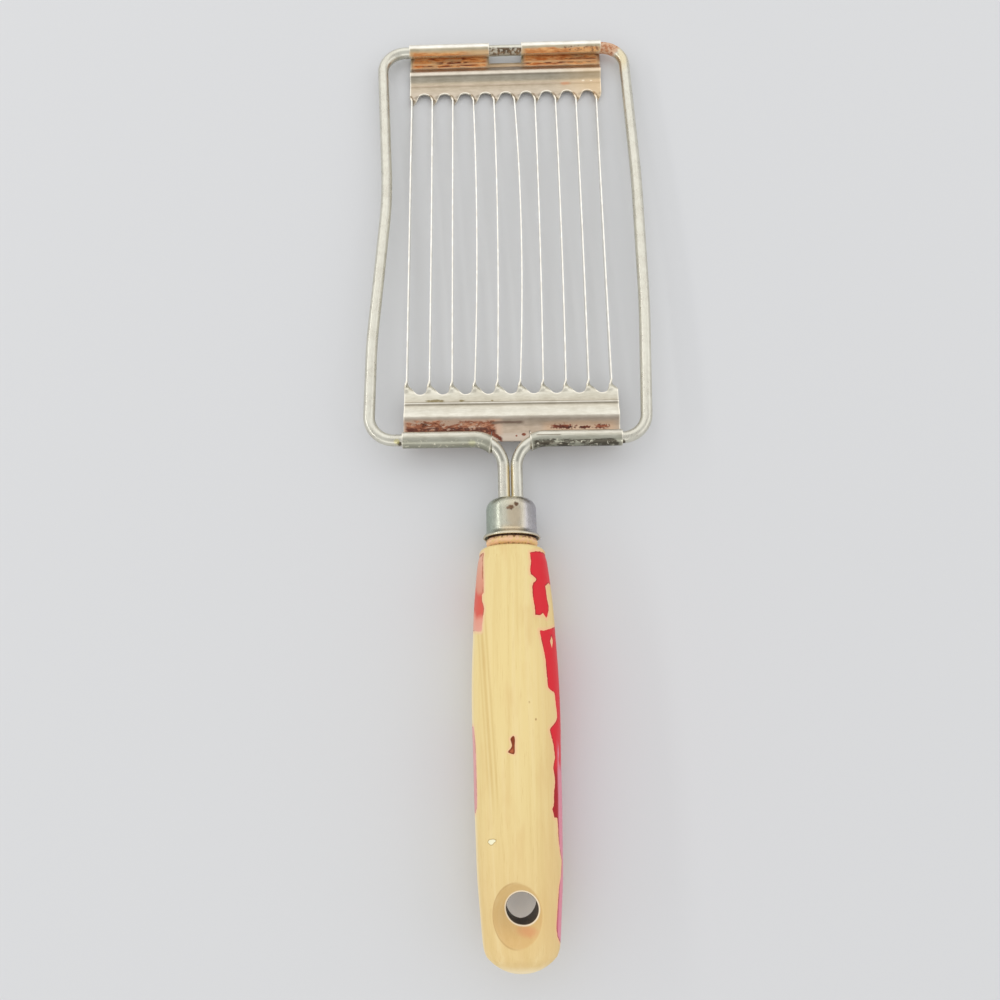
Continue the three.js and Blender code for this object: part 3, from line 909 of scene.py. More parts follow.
def streaks(look, low, high, soft, sway, grain, shift=(0, 0, 0)):
    """A band across the bar whose edges sway in long streaks."""
    lumps = look.sway(0.9, stretch=(grain, 1, 1), shift=shift, detail=5, rough=0.7)
    return look.window(look.plus(look.along, lumps, sway), low, high, soft)


def far_sheet_finish():
    look, curled = start_bar("far_sheet", 1, far_tones_and_light)
    flat = look.minus(1.0, curled)
    brighten_cuts(look)
    tabs = look.any(look.columns(-28.6, -5.6, 0.9), look.columns(6.4, 29.2, 0.9))
    stain = look.times(streaks(look, 9.7, 14.6, 0.5, 1.2, 0.3), tabs, flat)
    add_stain(look, stain, (236, 184, 126), 0.85)
    low_curl = look.times(curled, look.past(13.2, 12.3))
    add_stain(look, low_curl, (214, 168, 108), 0.65)
    lip = look.any(
        look.times(streaks(look, 11, 12.3, 0.25, 1.8, 0.2, (2, 7, 0)), look.step(look.x, -8, -16)),
        look.times(streaks(look, 11, 12.75, 0.25, 1.8, 0.2, (2, 7, 0)), look.step(look.x, 0, 1)),
    )
    lip = look.times(lip, tabs, curled)
    add_rust(look, lip, (238, 180, 116), (206, 132, 72), (136, 72, 38), (0.25, 1, 1), 0.43)
    band = look.times(streaks(look, 9.9, 14.4, 0.3, 2.6, 0.22), tabs, flat)
    patches = look.spots(0.4, 0.49, 0.45, stretch=(0.35, 1, 1), shift=(4, 2, 0), detail=5, rough=0.7)
    band = look.times(band, patches)
    add_rust(look, band, (244, 176, 106), (208, 118, 52), (120, 52, 24), (0.25, 1, 1), 0.44)
    pale = look.times(streaks(look, 10.9, 11.5, 0.2, 1.6, 0.12, (4, 4, 0)), tabs, flat)
    look.tint(pale, (250, 216, 164), 0.55)
    lines = look.any(
        look.times(streaks(look, 11.2, 12, 0.15, 1.8, 0.12), look.columns(-21, -7, 2)),
        look.times(streaks(look, 10.2, 10.7, 0.15, 1.2, 0.15), look.columns(-26, -9, 2)),
        look.times(streaks(look, 10.3, 10.9, 0.15, 1.2, 0.15, (7, 0, 0)), look.columns(6.6, 28, 1.5)),
        look.times(streaks(look, 11.7, 12.2, 0.15, 1.6, 0.15, (9, 3, 0)), look.columns(17, 29.6, 1.5)),
    )
    holes = look.spots(0.44, 0.52, 1.4, stretch=(0.3, 1, 1), shift=(1, 8, 0), detail=4, rough=0.65)
    look.tint(look.times(lines, holes, flat), (116, 44, 20), 0.9)
    end_marks = look.patch((28.3, 12.3), (1.9, 0.8), soft=0.5, ragged=1.4, scale=1.3)
    front_marks = look.patch((22, 12.6), (6, 0.7), soft=0.6, ragged=1.6, scale=1.1)
    dots = look.spots(0.5, 0.56, 1.6, stretch=(0.6, 1, 1), detail=4)
    end_dots = look.spots(0.45, 0.53, 1.1, shift=(4, 4, 0), detail=4)
    marks = look.any(look.times(end_marks, end_dots), look.times(front_marks, dots))
    look.tint(look.times(marks, curled), (128, 68, 32), 0.85)
    tan_end = look.times(look.step(look.x, 12, 30), look.past(14.5, 9))
    look.tint(tan_end, (232, 196, 142), 0.4)
    look.tint(look.patch((18.9, 2.6), (2.1, 0.9), soft=0.7, ragged=0.9, scale=0.9), (206, 142, 104), 0.6)
    pale_dots = look.any(look.patch((24.6, 3.5), (0.6, 0.35)), look.patch((27.1, 3.4), (0.5, 0.3)))
    look.tint(pale_dots, (244, 234, 214), 0.6)
    return look.finish()


def near_sheet_finish():
    look, curled = start_bar("near_sheet", -1, near_tones_and_light)
    flat = look.minus(1.0, curled)
    brighten_cuts(look)
    look.tint(look.times(flat, look.past(11.5, 11.9)), (206, 190, 172), 0.9)
    left = look.columns(-28.9, -4.2, 0.6)
    stain = look.times(streaks(look, 7.8, 12.4, 0.5, 1, 0.4), look.columns(-30, -2.5, 1), flat)
    add_stain(look, stain, (216, 182, 156), 0.75)
    band = look.times(streaks(look, 8.1, 12.3, 0.2, 1.8, 0.5), left, flat)
    thin = look.times(look.past(10.2, 9.0), 0.09)
    lumps = look.noise(0.8, stretch=(0.5, 1, 1), shift=(2, 6, 0), detail=5, rough=0.7)
    patches = look.step(look.minus(lumps, thin), 0.38, 0.43)
    band = look.times(band, patches)
    add_rust(look, band, (212, 156, 122), (158, 96, 66), (88, 46, 30), (0.4, 1, 1), 0.46)
    line = look.times(streaks(look, 9.9, 11.7, 0.2, 1.2, 0.4, (5, 0, 0)), left, flat)
    holes = look.spots(0.42, 0.5, 1.3, stretch=(0.5, 1, 1), shift=(3, 1, 0), detail=5, rough=0.68)
    look.tint(look.times(line, holes), (92, 44, 30), 0.9)
    spots = look.patches(
        ((-20.8, 1.95), (3.2, 0.55), 0.5, 1.6, 1.1),
        ((-13.5, 1.95), (1.1, 0.35), 0.5, 1.2, 1.1),
        ((-5, 2), (0.5, 0.3), 0.5, 1.2, 1.1),
    )
    look.tint(spots, (128, 112, 66), 0.8)
    band = look.times(look.columns(-5.4, 3.4, 0.8), streaks(look, 8.3, 9, 0.2, 1.2, 0.2))
    look.tint(band, (112, 90, 76), 0.8)
    halo = look.times(streaks(look, 8.6, 11.6, 0.5, 1, 0.4), look.columns(9, 29, 1.5), flat)
    look.tint(halo, (216, 178, 142), 0.5)
    right = look.patches(
        ((14.7, 9.95), (3.8, 0.85), 0.5, 2.6, 1.6),
        ((20.4, 10.15), (2.3, 0.5), 0.5, 2.6, 1.6),
        ((25.0, 10.1), (2.6, 0.75), 0.5, 2.6, 1.6),
    )
    slant = look.plus(look.along, look.x, -0.72)
    lumps = look.times(look.sway(1.2, detail=5, rough=0.7), 1.6)
    slant = look.plus(slant, lumps)
    tongue = look.any(
        look.times(look.window(slant, 14.7, 16.0, 0.3), look.columns(-6, -2.4, 0.4)),
        look.patch((3.6, 12.1), (0.7, 0.5), 0.4, 0.8, 1.2),
        look.patch((1.55, 12.5), (0.35, 0.3), 0.4, 0.8, 1.2),
    )
    marks = look.times(look.any(right, tongue), flat)
    add_rust(look, marks, (170, 100, 70), (120, 58, 38), (76, 34, 24), darkness=0.47)
    # Painted shade: the near tabs' lower faces, which turn away from the light, are greyed.
    shaded_low_face = look.times(curled, look.past(14.4, 15.3))
    look.tint(shaded_low_face, (160, 160, 142), 0.45)
    stain = look.times(curled, streaks(look, 15, 17, 0.2, 1.6, 0.35), look.columns(6.2, 29.2, 0.5))
    holes = look.spots(0.42, 0.5, 0.7, stretch=(0.5, 1, 1), shift=(6, 4, 0), detail=5, rough=0.7)
    look.tint(look.times(stain, holes), (66, 58, 48), 0.85)
    seam = look.times(curled, look.rows(13.6, 13.85, 0.12), look.columns(6.9, 13.4, 0.4))
    look.tint(seam, (110, 98, 84), 0.8)
    look.tint(look.times(look.patch((-10.5, 15.6), (1.3, 0.9), 0.6, 0.8), curled), (206, 206, 164), 0.5)
    flecks = look.times(shaded_low_face, look.spots(0.6, 0.66, 1.1, stretch=(1, 0.8, 1), shift=(1, 2, 5), detail=4))
    look.tint(flecks, (236, 232, 210), 0.7)
    return look.finish()


make_bar("far_blade_bar", "top_blade_bar", 1, far_sheet_finish())
make_bar("near_blade_bar", "bottom_blade_bar", -1, near_sheet_finish())

# %% [markdown]
# ## The ten blades
# Each blade is the same strip of sheet on edge. They repeat, so Geometry Nodes put one strip on each of ten
# points. A few blades have been bowed sideways in use, and each point carries its own bow as an attribute.


# %% Build the blades
def blade_tree(material):
    tree = Builder("blades_on_points")
    length = tree.size("Length", blade_high.y - blade_low.y)
    thickness = tree.size("Thickness", sheet_thickness)
    width = tree.size("Width", strip_width)
    corner = tree.size("Edge rounding", 0.12 * mm)
    middle = tree.size("Middle", (blade_high.y + blade_low.y) / 2)
    half = tree.times(length, 0.5)
    ends = []
    for side in (-1, 1):
        inputs = {"Y": tree.times(half, float(side))}
        ends.append(tree.node("ShaderNodeCombineXYZ", inputs).outputs[0])
    line = tree.node("GeometryNodeCurvePrimitiveLine", {"Start": ends[0], "End": ends[1]}).outputs[0]
    path = tree.node("GeometryNodeResampleCurve", {"Curve": line, "Count": 40}).outputs[0]
    inputs = {"Width": thickness, "Height": width}
    section = tree.node("GeometryNodeCurvePrimitiveQuadrilateral", inputs, mode="RECTANGLE").outputs[0]
    inputs = {"Curve": section, "Radius": corner, "Count": 2}
    section = tree.node("GeometryNodeFilletCurve", inputs, mode="POLY").outputs[0]
    inputs = {"Curve": path, "Profile Curve": section, "Fill Caps": True}
    strip = tree.node("GeometryNodeCurveToMesh", inputs).outputs[0]
    inputs = {"Points": tree.start.outputs[0], "Instance": strip}
    strips = tree.node("GeometryNodeInstanceOnPoints", inputs).outputs[0]
    strips = tree.node("GeometryNodeRealizeInstances", {0: strips}).outputs[0]
    place = tree.node("ShaderNodeSeparateXYZ", {0: tree.node("GeometryNodeInputPosition").outputs[0]})
    share = tree.math("DIVIDE", tree.minus(place.outputs["Y"], middle), half)
    bowed = tree.minus(1.0, tree.times(share, share))
    shift = tree.node("ShaderNodeCombineXYZ", {"X": tree.times(bowed, tree.attribute("bow"))})
    strips = tree.node("GeometryNodeSetPosition", {"Geometry": strips, "Offset": shift.outputs[0]})
    tree.finish(strips.outputs[0], material)
    return tree


def make_blades():
    look = steel("blade_steel", (255, 253, 246), (236, 232, 220), 0.24, lines=(1, 0.2, 1))
    material = look.finish()
    points, bows = [], []
    for low, high in blade_boxes:
        points.append((low.x + sheet_thickness / 2, (low.y + high.y) / 2, sheet_height))
        bows.append(high.x - low.x - sheet_thickness)
    blades = blade_tree(material).build("ten_blades", points, [], {"bow": bows}, 30 * degree)
    names = [f"blade_{number + 1:02d}" for number in range(len(blade_boxes))]
    put_in_frame(blades, "blade_steel", *names)


make_blades()

# %% [markdown]
# ## The ferrule
# A drawn cap of thin steel closes the handle's end. It is round, so it is a stack of rings: over the crown,
# down the side, round the flared lip and back up inside. Its first and last ring are the oblong hole that
# both wires pass through, so the shell has a real wall.

# %% The ferrule's shape
ferrule_wall = 0.5 * mm
ferrule_radius = 6.625 * mm
ferrule_rounding = 3 * mm
lip_radius = (ferrule_high.x - ferrule_low.x) / 2
lip_length = 1.6 * mm
fit_clearance = 0.3 * mm
ferrule_sides = 96
turn_steps = 12
flare_start = 0.4 * mm
flare_power = 1.3


def ring_at(y, count, reach):
    """A ring of points round the tool's middle line. How far each is out follows from its direction."""
    ring = []
    for turn in around(count):
        across, up = math.sin(turn), math.cos(turn)
        far = reach(across, up)
        ring.append(Vector((middle_x + far * across, y, wire_height + far * up)))
    return ring


def hole_reach(across, up):
    """The outline of the two wires side by side, with some room round them."""
    radius = wire_radius + fit_clearance
    if radius * abs(across) < neck_half * abs(up):
        return radius / abs(up)
    return neck_half * abs(across) + math.sqrt(radius**2 - (neck_half * up) ** 2)


def ferrule_side(inset):
    """Radius and height pairs from the crown down to the lip, for the outer or the inner skin."""
    crown = ferrule_radius - ferrule_rounding
    centre = ferrule_high.y - ferrule_rounding
    radius = ferrule_rounding - inset
    side = []
    for share in shares(turn_steps):
        angle = 90 * degree * (1 - share)
        side.append((crown + radius * math.cos(angle), centre + radius * math.sin(angle)))
    flare = ferrule_low.y + lip_length + flare_start
    side += [(ferrule_radius - inset, between(centre, flare, share)) for share in shares(6, 1)]
    for share in shares(turn_steps, 1):
        radius = between(ferrule_radius, lip_radius, smooth_step(share) ** flare_power) - inset
        side.append((radius, between(flare, ferrule_low.y + ferrule_wall / 2, share)))
    return side


def make_ferrule(material):
    side = ferrule_side(0)
    middle, rim = lip_radius - ferrule_wall / 2, ferrule_wall / 2
    for share in shares(6, 1)[:-1]:
        angle = 180 * degree * share
        side.append((middle + rim * math.cos(angle), ferrule_low.y + rim * (1 - math.sin(angle))))
    side += reversed(ferrule_side(ferrule_wall))
    rings = [ring_at(ferrule_high.y, ferrule_sides, hole_reach)]
    rings += [ring_at(y, ferrule_sides, lambda across, up: radius) for radius, y in side]
    rings.append(ring_at(ferrule_high.y - ferrule_wall, ferrule_sides, hole_reach))
    rings.append(rings[0])
    points = [leaned(point) for ring in rings for point in ring]
    cap = add_mesh("ferrule_cap", points, loft_faces(ferrule_sides, len(rings)), material)
    face_outwards(cap.data)
    cap.data.set_sharp_from_angle(angle=50 * degree)
    put_in_frame(cap, "ferrule_steel", "ferrule")


# %% The ferrule's finish
# The cap's colour across it, in mm from its middle: greener on the left, lilac on the right, and darker
# towards both sides, which is painted shade on the round cap.
ferrule_tones_and_shade = [
    (-7.8, 158, 170, 156), (-5.8, 184, 194, 180), (-2.4, 206, 204, 186), (0, 208, 200, 178),
    (2.4, 204, 196, 178), (3.6, 202, 198, 198), (7.3, 174, 172, 182),
]


def ferrule_finish():
    look = steel("dull_ferrule", (255, 255, 255), (232, 232, 230), 0.26, lines=(1, 0.4, 1))
    look.colour = look.mix(1.0, look.colour, look.ramp(look.x, ferrule_tones_and_shade), "MULTIPLY")
    top, foot = ferrule_high.y / mm, ferrule_low.y / mm
    front = look.step(look.z, wire_height / mm + 2, wire_height / mm + 4)
    tan = look.patch((0.3, top - 5.6), (2.4, 3.8), soft=0.5, ragged=0.5)
    add_stain(look, look.times(tan, front), (192, 172, 142), 0.5)
    look.tint(look.times(look.columns(-3, 2.2, 1.2), look.step(look.y, foot + 3, foot + 1.4), front),
              (216, 190, 150), 0.5)
    # A pale band on the flared lip: a painted reflection of the wood below it.
    look.tint(look.step(look.y, foot + 0.75, foot + 0.35), (230, 220, 194), 0.7)
    spots = look.patches(
        ((-0.5, top - 3.7), (1.2, 0.75), 0.5, 1.6, 1.5),
        ((0.9, top - 2.9), (0.7, 0.75), 0.5, 1.6, 1.5),
    )
    add_rust(look, look.times(spots, front), (130, 100, 74), (100, 72, 50), (66, 46, 34))
    return look.finish()


make_ferrule(ferrule_finish())

# %% [markdown]
# ## The handle
# The handle was turned and then planed to an oval. Its section is a superellipse, an oval with fuller
# corners, and its half width and thickness follow a few listed shares along its length. The rings run
# from the rounded tip to the tenon, and on down the blind bore that holds the two wires.

# %% The handle's shape
handle_width = 21.9 * mm
handle_thickness = handle_high.z - handle_low.z
fullness = 2.25
shoulder_radius = 6 * mm
shoulder_rounding = 1.6 * mm
collar_radius = 6.6 * mm
end_radius = 10.9 * mm
end_turn = 46 * degree
handle_sides = 192
end_steps = 16
length_steps = 270
shoulder_steps = 8
tenon_clearance = 0.35 * mm
tenon_top = ferrule_high.y - ferrule_wall - 1.6 * mm
tenon_edge = 0.6 * mm
torn_depth = 0.22 * mm
torn_start = 0.3 * mm
tears = 9
width_shares = [
    (0.024, 0.785), (0.042, 0.825), (0.133, 0.909), (0.234, 0.959), (0.335, 0.995), (0.425, 1),
    (0.526, 0.98), (0.617, 0.969), (0.708, 0.947), (0.798, 0.922), (0.884, 0.862), (0.927, 0.829),
    (0.95, 0.797), (0.965, 0.74),
]
flatness_shares = [(0, 1.2), (0.14, 1.08), (0.34, 1), (0.71, 1), (0.93, 0.945), (1, 0.93)]


def half_width(along):
    """Half the handle's width at a distance from the shoulder."""
    share = along / handle_length
    if share < width_shares[0][0]:
        flank = handle_width / 2 * width_shares[0][1]
        rise = math.sqrt(max(0.0, 1 - (1 - min(along / shoulder_rounding, 1.0)) ** 2))
        return between(shoulder_radius, flank, rise)
    if share > width_shares[-1][0]:
        left = end_radius - (handle_length - along)
        return math.sqrt(max(0.0, end_radius**2 - left**2))
    return handle_width / 2 * read_curve(width_shares, share)


def half_thickness(along):
    ratio = handle_thickness / handle_width * read_curve(flatness_shares, along / handle_length)
    ratio = between(1, ratio, smooth_step(along / shoulder_rounding))
    return half_width(along) * ratio


def power(value, exponent):
    return math.copysign(abs(value) ** exponent, value)


def handle_point(along, turn):
    """A point of the wood: turn is 0 at the front's middle and 90 degrees at the right side."""
    x = half_width(along) * power(math.sin(turn), 2 / fullness)
    z = half_thickness(along) * power(math.cos(turn), 2 / fullness)
    return Vector((middle_x + x, shoulder - along, wire_height + z))


# %% [markdown]
# ## The hang hole
# A hole with a dished mouth goes through the handle. A Boolean would leave ragged faces round it, so the
# faces in front of it are left out and rings run from that window's edge down into the dish, through the
# hole and out to the window at the back. The height of each ring comes from one formula: the lower one of
# the handle's surface and of the dish, with a soft corner between them.

# %% The hole's shape
hole_radius = 3.65 * mm
hole_along = handle_length - 14.5 * mm
hole_shift = 0.25 * mm
hole_softness = 0.28 * mm
dish_radius = 7.2 * mm
dish_depth = 3 * mm
dish_shift = Vector((-1.5 * mm, -1.85 * mm))
window_turns = 32
window_reach = 10.6 * mm
mouth_limit = 9.4 * mm
mouth_tries = 30
mouth_band = 0.3 * mm
mouth_softness = 0.35 * mm
deepest_dish = 1.35 * dish_depth
hole_middle = Vector((middle_x + hole_shift, shoulder - hole_along))


def soft_min(a, b, softness):
    h = max(softness - abs(a - b), 0.0) / softness
    return min(a, b) - h * h * softness / 4


def face_height(x, y):
    """How far the front of the handle is from its middle plane, with the dish cut into it."""
    along = shoulder - y
    across = min(abs(x - middle_x) / half_width(along), 0.999)
    wood = half_thickness(along) * (1 - across**fullness) ** (1 / fullness)
    crown = half_thickness(hole_along)
    far = (Vector((x, y)) - hole_middle - dish_shift).length
    dish = crown - dish_depth * (dish_radius - far) / (dish_radius - hole_radius)
    return soft_min(wood, max(dish, crown - deepest_dish), mouth_softness), wood - dish


def mouth_reach(direction):
    """How far from the hole's middle the dish meets the wood, in a direction."""
    low, high = hole_radius, mouth_limit
    for _ in range(mouth_tries):
        reach = (low + high) / 2
        point = hole_middle + direction * reach
        if face_height(point.x, point.y)[1] > 0:
            low = reach
        else:
            high = reach
    return max(low, hole_radius + 2.2 * hole_softness)


def window_rings(edge, face):
    """Rings from the window's edge to the hole's wall, on the front (1) or the back (-1)."""
    directions = [Vector((point.x, point.y)) - hole_middle for point in edge]
    reaches = [direction.length for direction in directions]
    directions = [direction.normalized() for direction in directions]
    mouths = [mouth_reach(direction) for direction in directions]
    lip = hole_radius + hole_softness
    plans = []
    for share in (0.8, 0.6, 0.4, 0.22):
        plans.append([between(mouth + mouth_band, reach, share) for mouth, reach in zip(mouths, reaches)])
    for share in (1, 0.5, 0, -0.5, -1):
        plans.append([max(mouth + share * mouth_band, lip) for mouth in mouths])
    for share in (0.75, 0.5, 0.25, 0):
        plans.append([between(lip, max(mouth - mouth_band, lip), share) for mouth in mouths])
    rings = []
    for plan in plans:
        places = [hole_middle + direction * reach for direction, reach in zip(directions, plan)]
        rings.append([Vector((x, y, wire_height + face * face_height(x, y)[0])) for x, y in places])
    lip_ring = rings[-1]
    for share in shares(4, 1):
        reach = hole_radius + hole_softness * (1 - math.sin(90 * degree * share))
        drop = hole_softness * (1 - math.cos(90 * degree * share))
        places = [hole_middle + direction * reach for direction in directions]
        rings.append([Vector((x, y, point.z - face * drop)) for (x, y), point in zip(places, lip_ring)])
    return rings


# %% [markdown]
# ## What is left of the paint
# Most of the red paint has worn off. Each patch is an outline that is given on the unrolled handle:
# millimetres from the shoulder, and degrees round from the front's middle. Every point of the mesh stores how
# far inside the outlines it is. The material then only has to ask whether that distance is above zero, and
# noise makes the edge ragged. The back isn't in the photograph, so its patches are a guess.

# %% The outlines
red_outlines = [
    [
        (2.4, 28), (2, 40), (1.8, 56), (2, 75), (2.6, 100), (6, 108), (9, 100), (10, 80), (9.8, 66),
        (10.7, 54), (13.8, 55), (16, 58), (17, 56.5), (19, 49.5), (17.6, 42), (18.3, 37), (18.2, 28),
        (16.2, 27.5), (13.4, 25.5), (11, 26), (10.3, 28), (9.3, 35), (8.8, 31), (8, 25), (6.8, 24.5),
        (5.2, 27), (3.8, 27),
    ],
    [
        (22, 33.5), (22, 42), (21.4, 57.5), (20.6, 80), (20.2, 100), (21, 118), (25, 124), (31, 121),
        (36, 130), (44, 126), (50, 133), (58, 127), (66, 131), (72, 124), (80, 120), (88, 112), (92.5, 100),
        (93, 84), (92, 70), (91, 61.5), (89, 56.5), (85, 58.5), (80.5, 61), (78, 68), (75, 72), (73.5, 66),
        (70.5, 60.5), (67, 59), (65.5, 57), (65.3, 50), (63.3, 45.5), (62.7, 49), (59.5, 50.5), (57.7, 53),
        (56, 52.5), (54.3, 49.5), (52, 54.5), (49, 51.5), (47.5, 48), (45.6, 43.5), (45, 47), (43.8, 58),
        (42.7, 63.5), (39.5, 60), (37, 57.5), (36.2, 47.5), (35.7, 43), (32.8, 42), (29, 41), (26, 38),
        (24, 35.5),
    ],
    [
        (4, 128), (3, 150), (3.5, 175), (5, 200), (9, 214), (15, 208), (20, 219), (27, 212), (33, 203),
        (38, 206), (42, 190), (39, 172), (43, 158), (40, 143), (34, 136), (28, 141), (21, 133), (14, 138),
        (9, 126),
    ],
    [
        (56, 150), (52, 168), (55, 186), (60, 198), (68, 205), (73, 196), (77, 186), (76, 170), (72, 158),
        (66, 146), (60, 142),
    ],
]
bare_outline = [(23.1, 59.5), (24.4, 62.5), (26.2, 58), (24.5, 54.5)]
faded_outlines = [
    [
        (1.8, -57.5), (5.6, -52.5), (9.8, -48), (12.4, -47), (12.9, -51), (14.4, -49.5), (15.6, -45.5),
        (17, -44.5), (18.3, -46.5), (21, -48.5), (22, -49.5), (21.6, -70), (21.2, -97), (18, -108),
        (12, -112), (6, -106), (2.4, -100),
    ],
    [
        (44.5, -73), (45.4, -71), (48.9, -67), (54.6, -66.5), (60.3, -66), (63, -68), (64.6, -76),
        (64, -100), (58, -112), (50, -108), (45, -98),
    ],
]
brown_chip = [
    (46.8, -4), (47.5, -7), (48.1, -6), (49, -5), (49.7, -6.5), (50.4, -10.5), (50.7, -8), (51, -3.5),
    (50.6, -2.5), (49, -2.5), (47.8, -2), (46.9, -2.5),
]
pale_chip = [
    (70.4, -42.5), (69.9, -40.5), (69.7, -33.5), (69.8, -29), (70.1, -29.5), (70.4, -32.5), (70.8, -34.5),
    (70.9, -38),
]


# %% How far inside the outlines each point is
degree_width = 0.168
far_outside = -9.0


def inside_distance(outline, along, turn):
    """Distances in mm inside an outline, less than zero outside. Turns of 180 to 360 also count as -180 to
    0."""
    corners = np.array(outline) * (1, degree_width)
    best = np.full(len(along), far_outside)
    for wrap in (0, 360):
        places = np.stack([along, (turn - wrap) * degree_width], axis=1)
        nearest = np.full(len(along), -far_outside)
        inside = np.zeros(len(along), bool)
        for start, end in zip(corners, np.roll(corners, -1, axis=0)):
            edge = end - start
            share = np.clip((places - start) @ edge / (edge @ edge), 0, 1)
            gap = np.linalg.norm(places - start - share[:, None] * edge, axis=1)
            nearest = np.minimum(nearest, gap)
            crosses = (places[:, 0] > start[0]) != (places[:, 0] > end[0])
            meets = start[1] + (places[:, 0] - start[0]) / (edge[0] or 1) * edge[1]
            inside ^= crosses & (places[:, 1] < meets)
        best = np.maximum(best, np.where(inside, nearest, -nearest))
    return best


def place_on_handle(point):
    """Millimetres from the shoulder and degrees round from the front, read back from a point's place."""
    along = shoulder - point.y
    x = (point.x - middle_x) / max(half_width(along), 0.1 * mm)
    z = (point.z - wire_height) / max(half_thickness(along), 0.1 * mm)
    turn = math.atan2(power(x, fullness / 2), power(z, fullness / 2))
    return along / mm, math.degrees(turn) % 360


def dish_depth_at(point):
    """How deep under the wood's first surface the dish is at a point, in mm."""
    if abs(shoulder - point.y - hole_along) > window_reach + 1 * mm:
        return far_outside
    return face_height(point.x, point.y)[1] / mm


def handle_marks(points):
    """The numbers that the handle's points store for the material."""
    along, turn = np.array([place_on_handle(point) for point in points]).T
    red = np.max([inside_distance(outline, along, turn) for outline in red_outlines], axis=0)
    return {
        "red_paint": np.minimum(red, -inside_distance(bare_outline, along, turn)),
        "faded_paint": np.max([inside_distance(outline, along, turn) for outline in faded_outlines], axis=0),
        "brown_chip": inside_distance(brown_chip, along, turn),
        "pale_chip": inside_distance(pale_chip, along, turn),
        "turn": turn - 360 * (turn > 180),
        "dish": [dish_depth_at(point) for point in points],
    }


# %% Build the handle
def handle_rows():
    """Distances from the shoulder at which the handle has a ring, from the tip to the shoulder."""
    rows = [handle_length - end_radius * (1 - math.cos(end_turn * share)) for share in shares(end_steps, 1)]
    rows += [between(rows[-1], shoulder_rounding, share) for share in shares(length_steps, 1)]
    turns = [90 * degree * share for share in shares(shoulder_steps, 1)]
    return rows + [shoulder_rounding * (1 - math.sin(turn)) for turn in turns]


def neck_rings():
    """Rings above the shoulder: a torn collar, the tenon, then the bore for the wires."""
    tenon = ferrule_radius - ferrule_wall - tenon_clearance
    foot = ferrule_low.y - shoulder
    top = tenon_top - shoulder
    plan = [(shoulder_radius - 0.25 * mm, 0.1 * mm)]
    for swell, rise in ((-0.5, 0.45), (0, 0.95), (0.1, 1.5), (-0.1, 2.2), (-0.35, foot / mm + 0.3)):
        plan.append((collar_radius + swell * mm, rise * mm))
    plan += [(tenon, foot + lip_length), (tenon, top - tenon_edge), (tenon - tenon_edge, top)]
    rings = []
    for radius, rise in plan:
        tear = torn_depth if torn_start < rise < foot else 0.0

        def reach(across, up):
            return radius + tear * noise.noise(Vector((tears * up, tears * across, rise / mm)))

        rings.append(ring_at(shoulder + rise, handle_sides, reach))
    for y in (tenon_top, tang_end - fit_clearance):
        rings.append(ring_at(y, handle_sides, hole_reach))
    return rings


def window_loops(rows):
    """The rows that the windows lie between, and the loops of points round the front and the back one."""
    first = next(i for i, along in enumerate(rows) if along < hole_along + window_reach)
    last = next(i for i, along in enumerate(rows) if along < hole_along - window_reach)
    loops = []
    for face, middle in ((1, 0), (-1, handle_sides // 2)):
        sides = [middle + face * step for step in range(-window_turns, window_turns + 1)]
        loop = [(first, side) for side in sides]
        loop += [(row, sides[-1]) for row in range(first + 1, last + 1)]
        loop += [(last, side) for side in reversed(sides[:-1])]
        loop += [(row, sides[0]) for row in range(last - 1, first, -1)]
        loops.append([row * handle_sides + side % handle_sides for row, side in loop])
    return first, last, loops


def make_handle(material):
    rows = handle_rows()
    rings = [[handle_point(along, turn) for turn in around(handle_sides)] for along in rows]
    rings += neck_rings()
    points = [point for ring in rings for point in ring]
    first, last, (front, back) = window_loops(rows)
    cut = set()
    for row in range(first, last):
        for middle in (0, handle_sides // 2):
            for step in range(-window_turns, window_turns):
                cut.add(row * handle_sides + (middle + step) % handle_sides)
    faces = [face for i, face in enumerate(loft_faces(handle_sides, len(rings))) if i not in cut]
    halves = []
    for loop, face in ((front, 1), (back, -1)):
        half = [loop]
        for ring in window_rings([points[i] for i in loop], face):
            half.append(range(len(points), len(points) + len(ring)))
            points.extend(ring)
        halves.append(half)
    stack = halves[0] + halves[1][::-1]
    for above, below in zip(stack, stack[1:]):
        faces += band(above, below)
    tip, bottom = len(points), len(points) + 1
    for y in (shoulder - handle_length, tang_end - fit_clearance):
        points.append(Vector((middle_x, y, wire_height)))
    deepest = (len(rings) - 1) * handle_sides
    for i in range(handle_sides):
        after = (i + 1) % handle_sides
        faces.append((tip, after, i))
        faces.append((bottom, deepest + i, deepest + after))
    handle = add_mesh("wooden_handle", [leaned(point) for point in points], faces, material)
    for name, numbers in handle_marks(points).items():
        store_numbers(handle.data, name, numbers)
    face_outwards(handle.data)
    handle.data.set_sharp_from_angle(angle=60 * degree)
    return handle


# %% The handle's finish
wood_colours = [
    (0, 244, 222, 158), (30, 246, 222, 156), (62, 244, 220, 156), (84, 240, 211, 149), (99, 240, 210, 148),
]
faded_colours = [
    (0, 236, 186, 158), (12, 228, 150, 124), (13.2, 226, 96, 80), (17.5, 226, 96, 80), (19, 238, 160, 138),
    (23, 240, 178, 156), (45, 232, 170, 168), (62, 226, 160, 160),
]


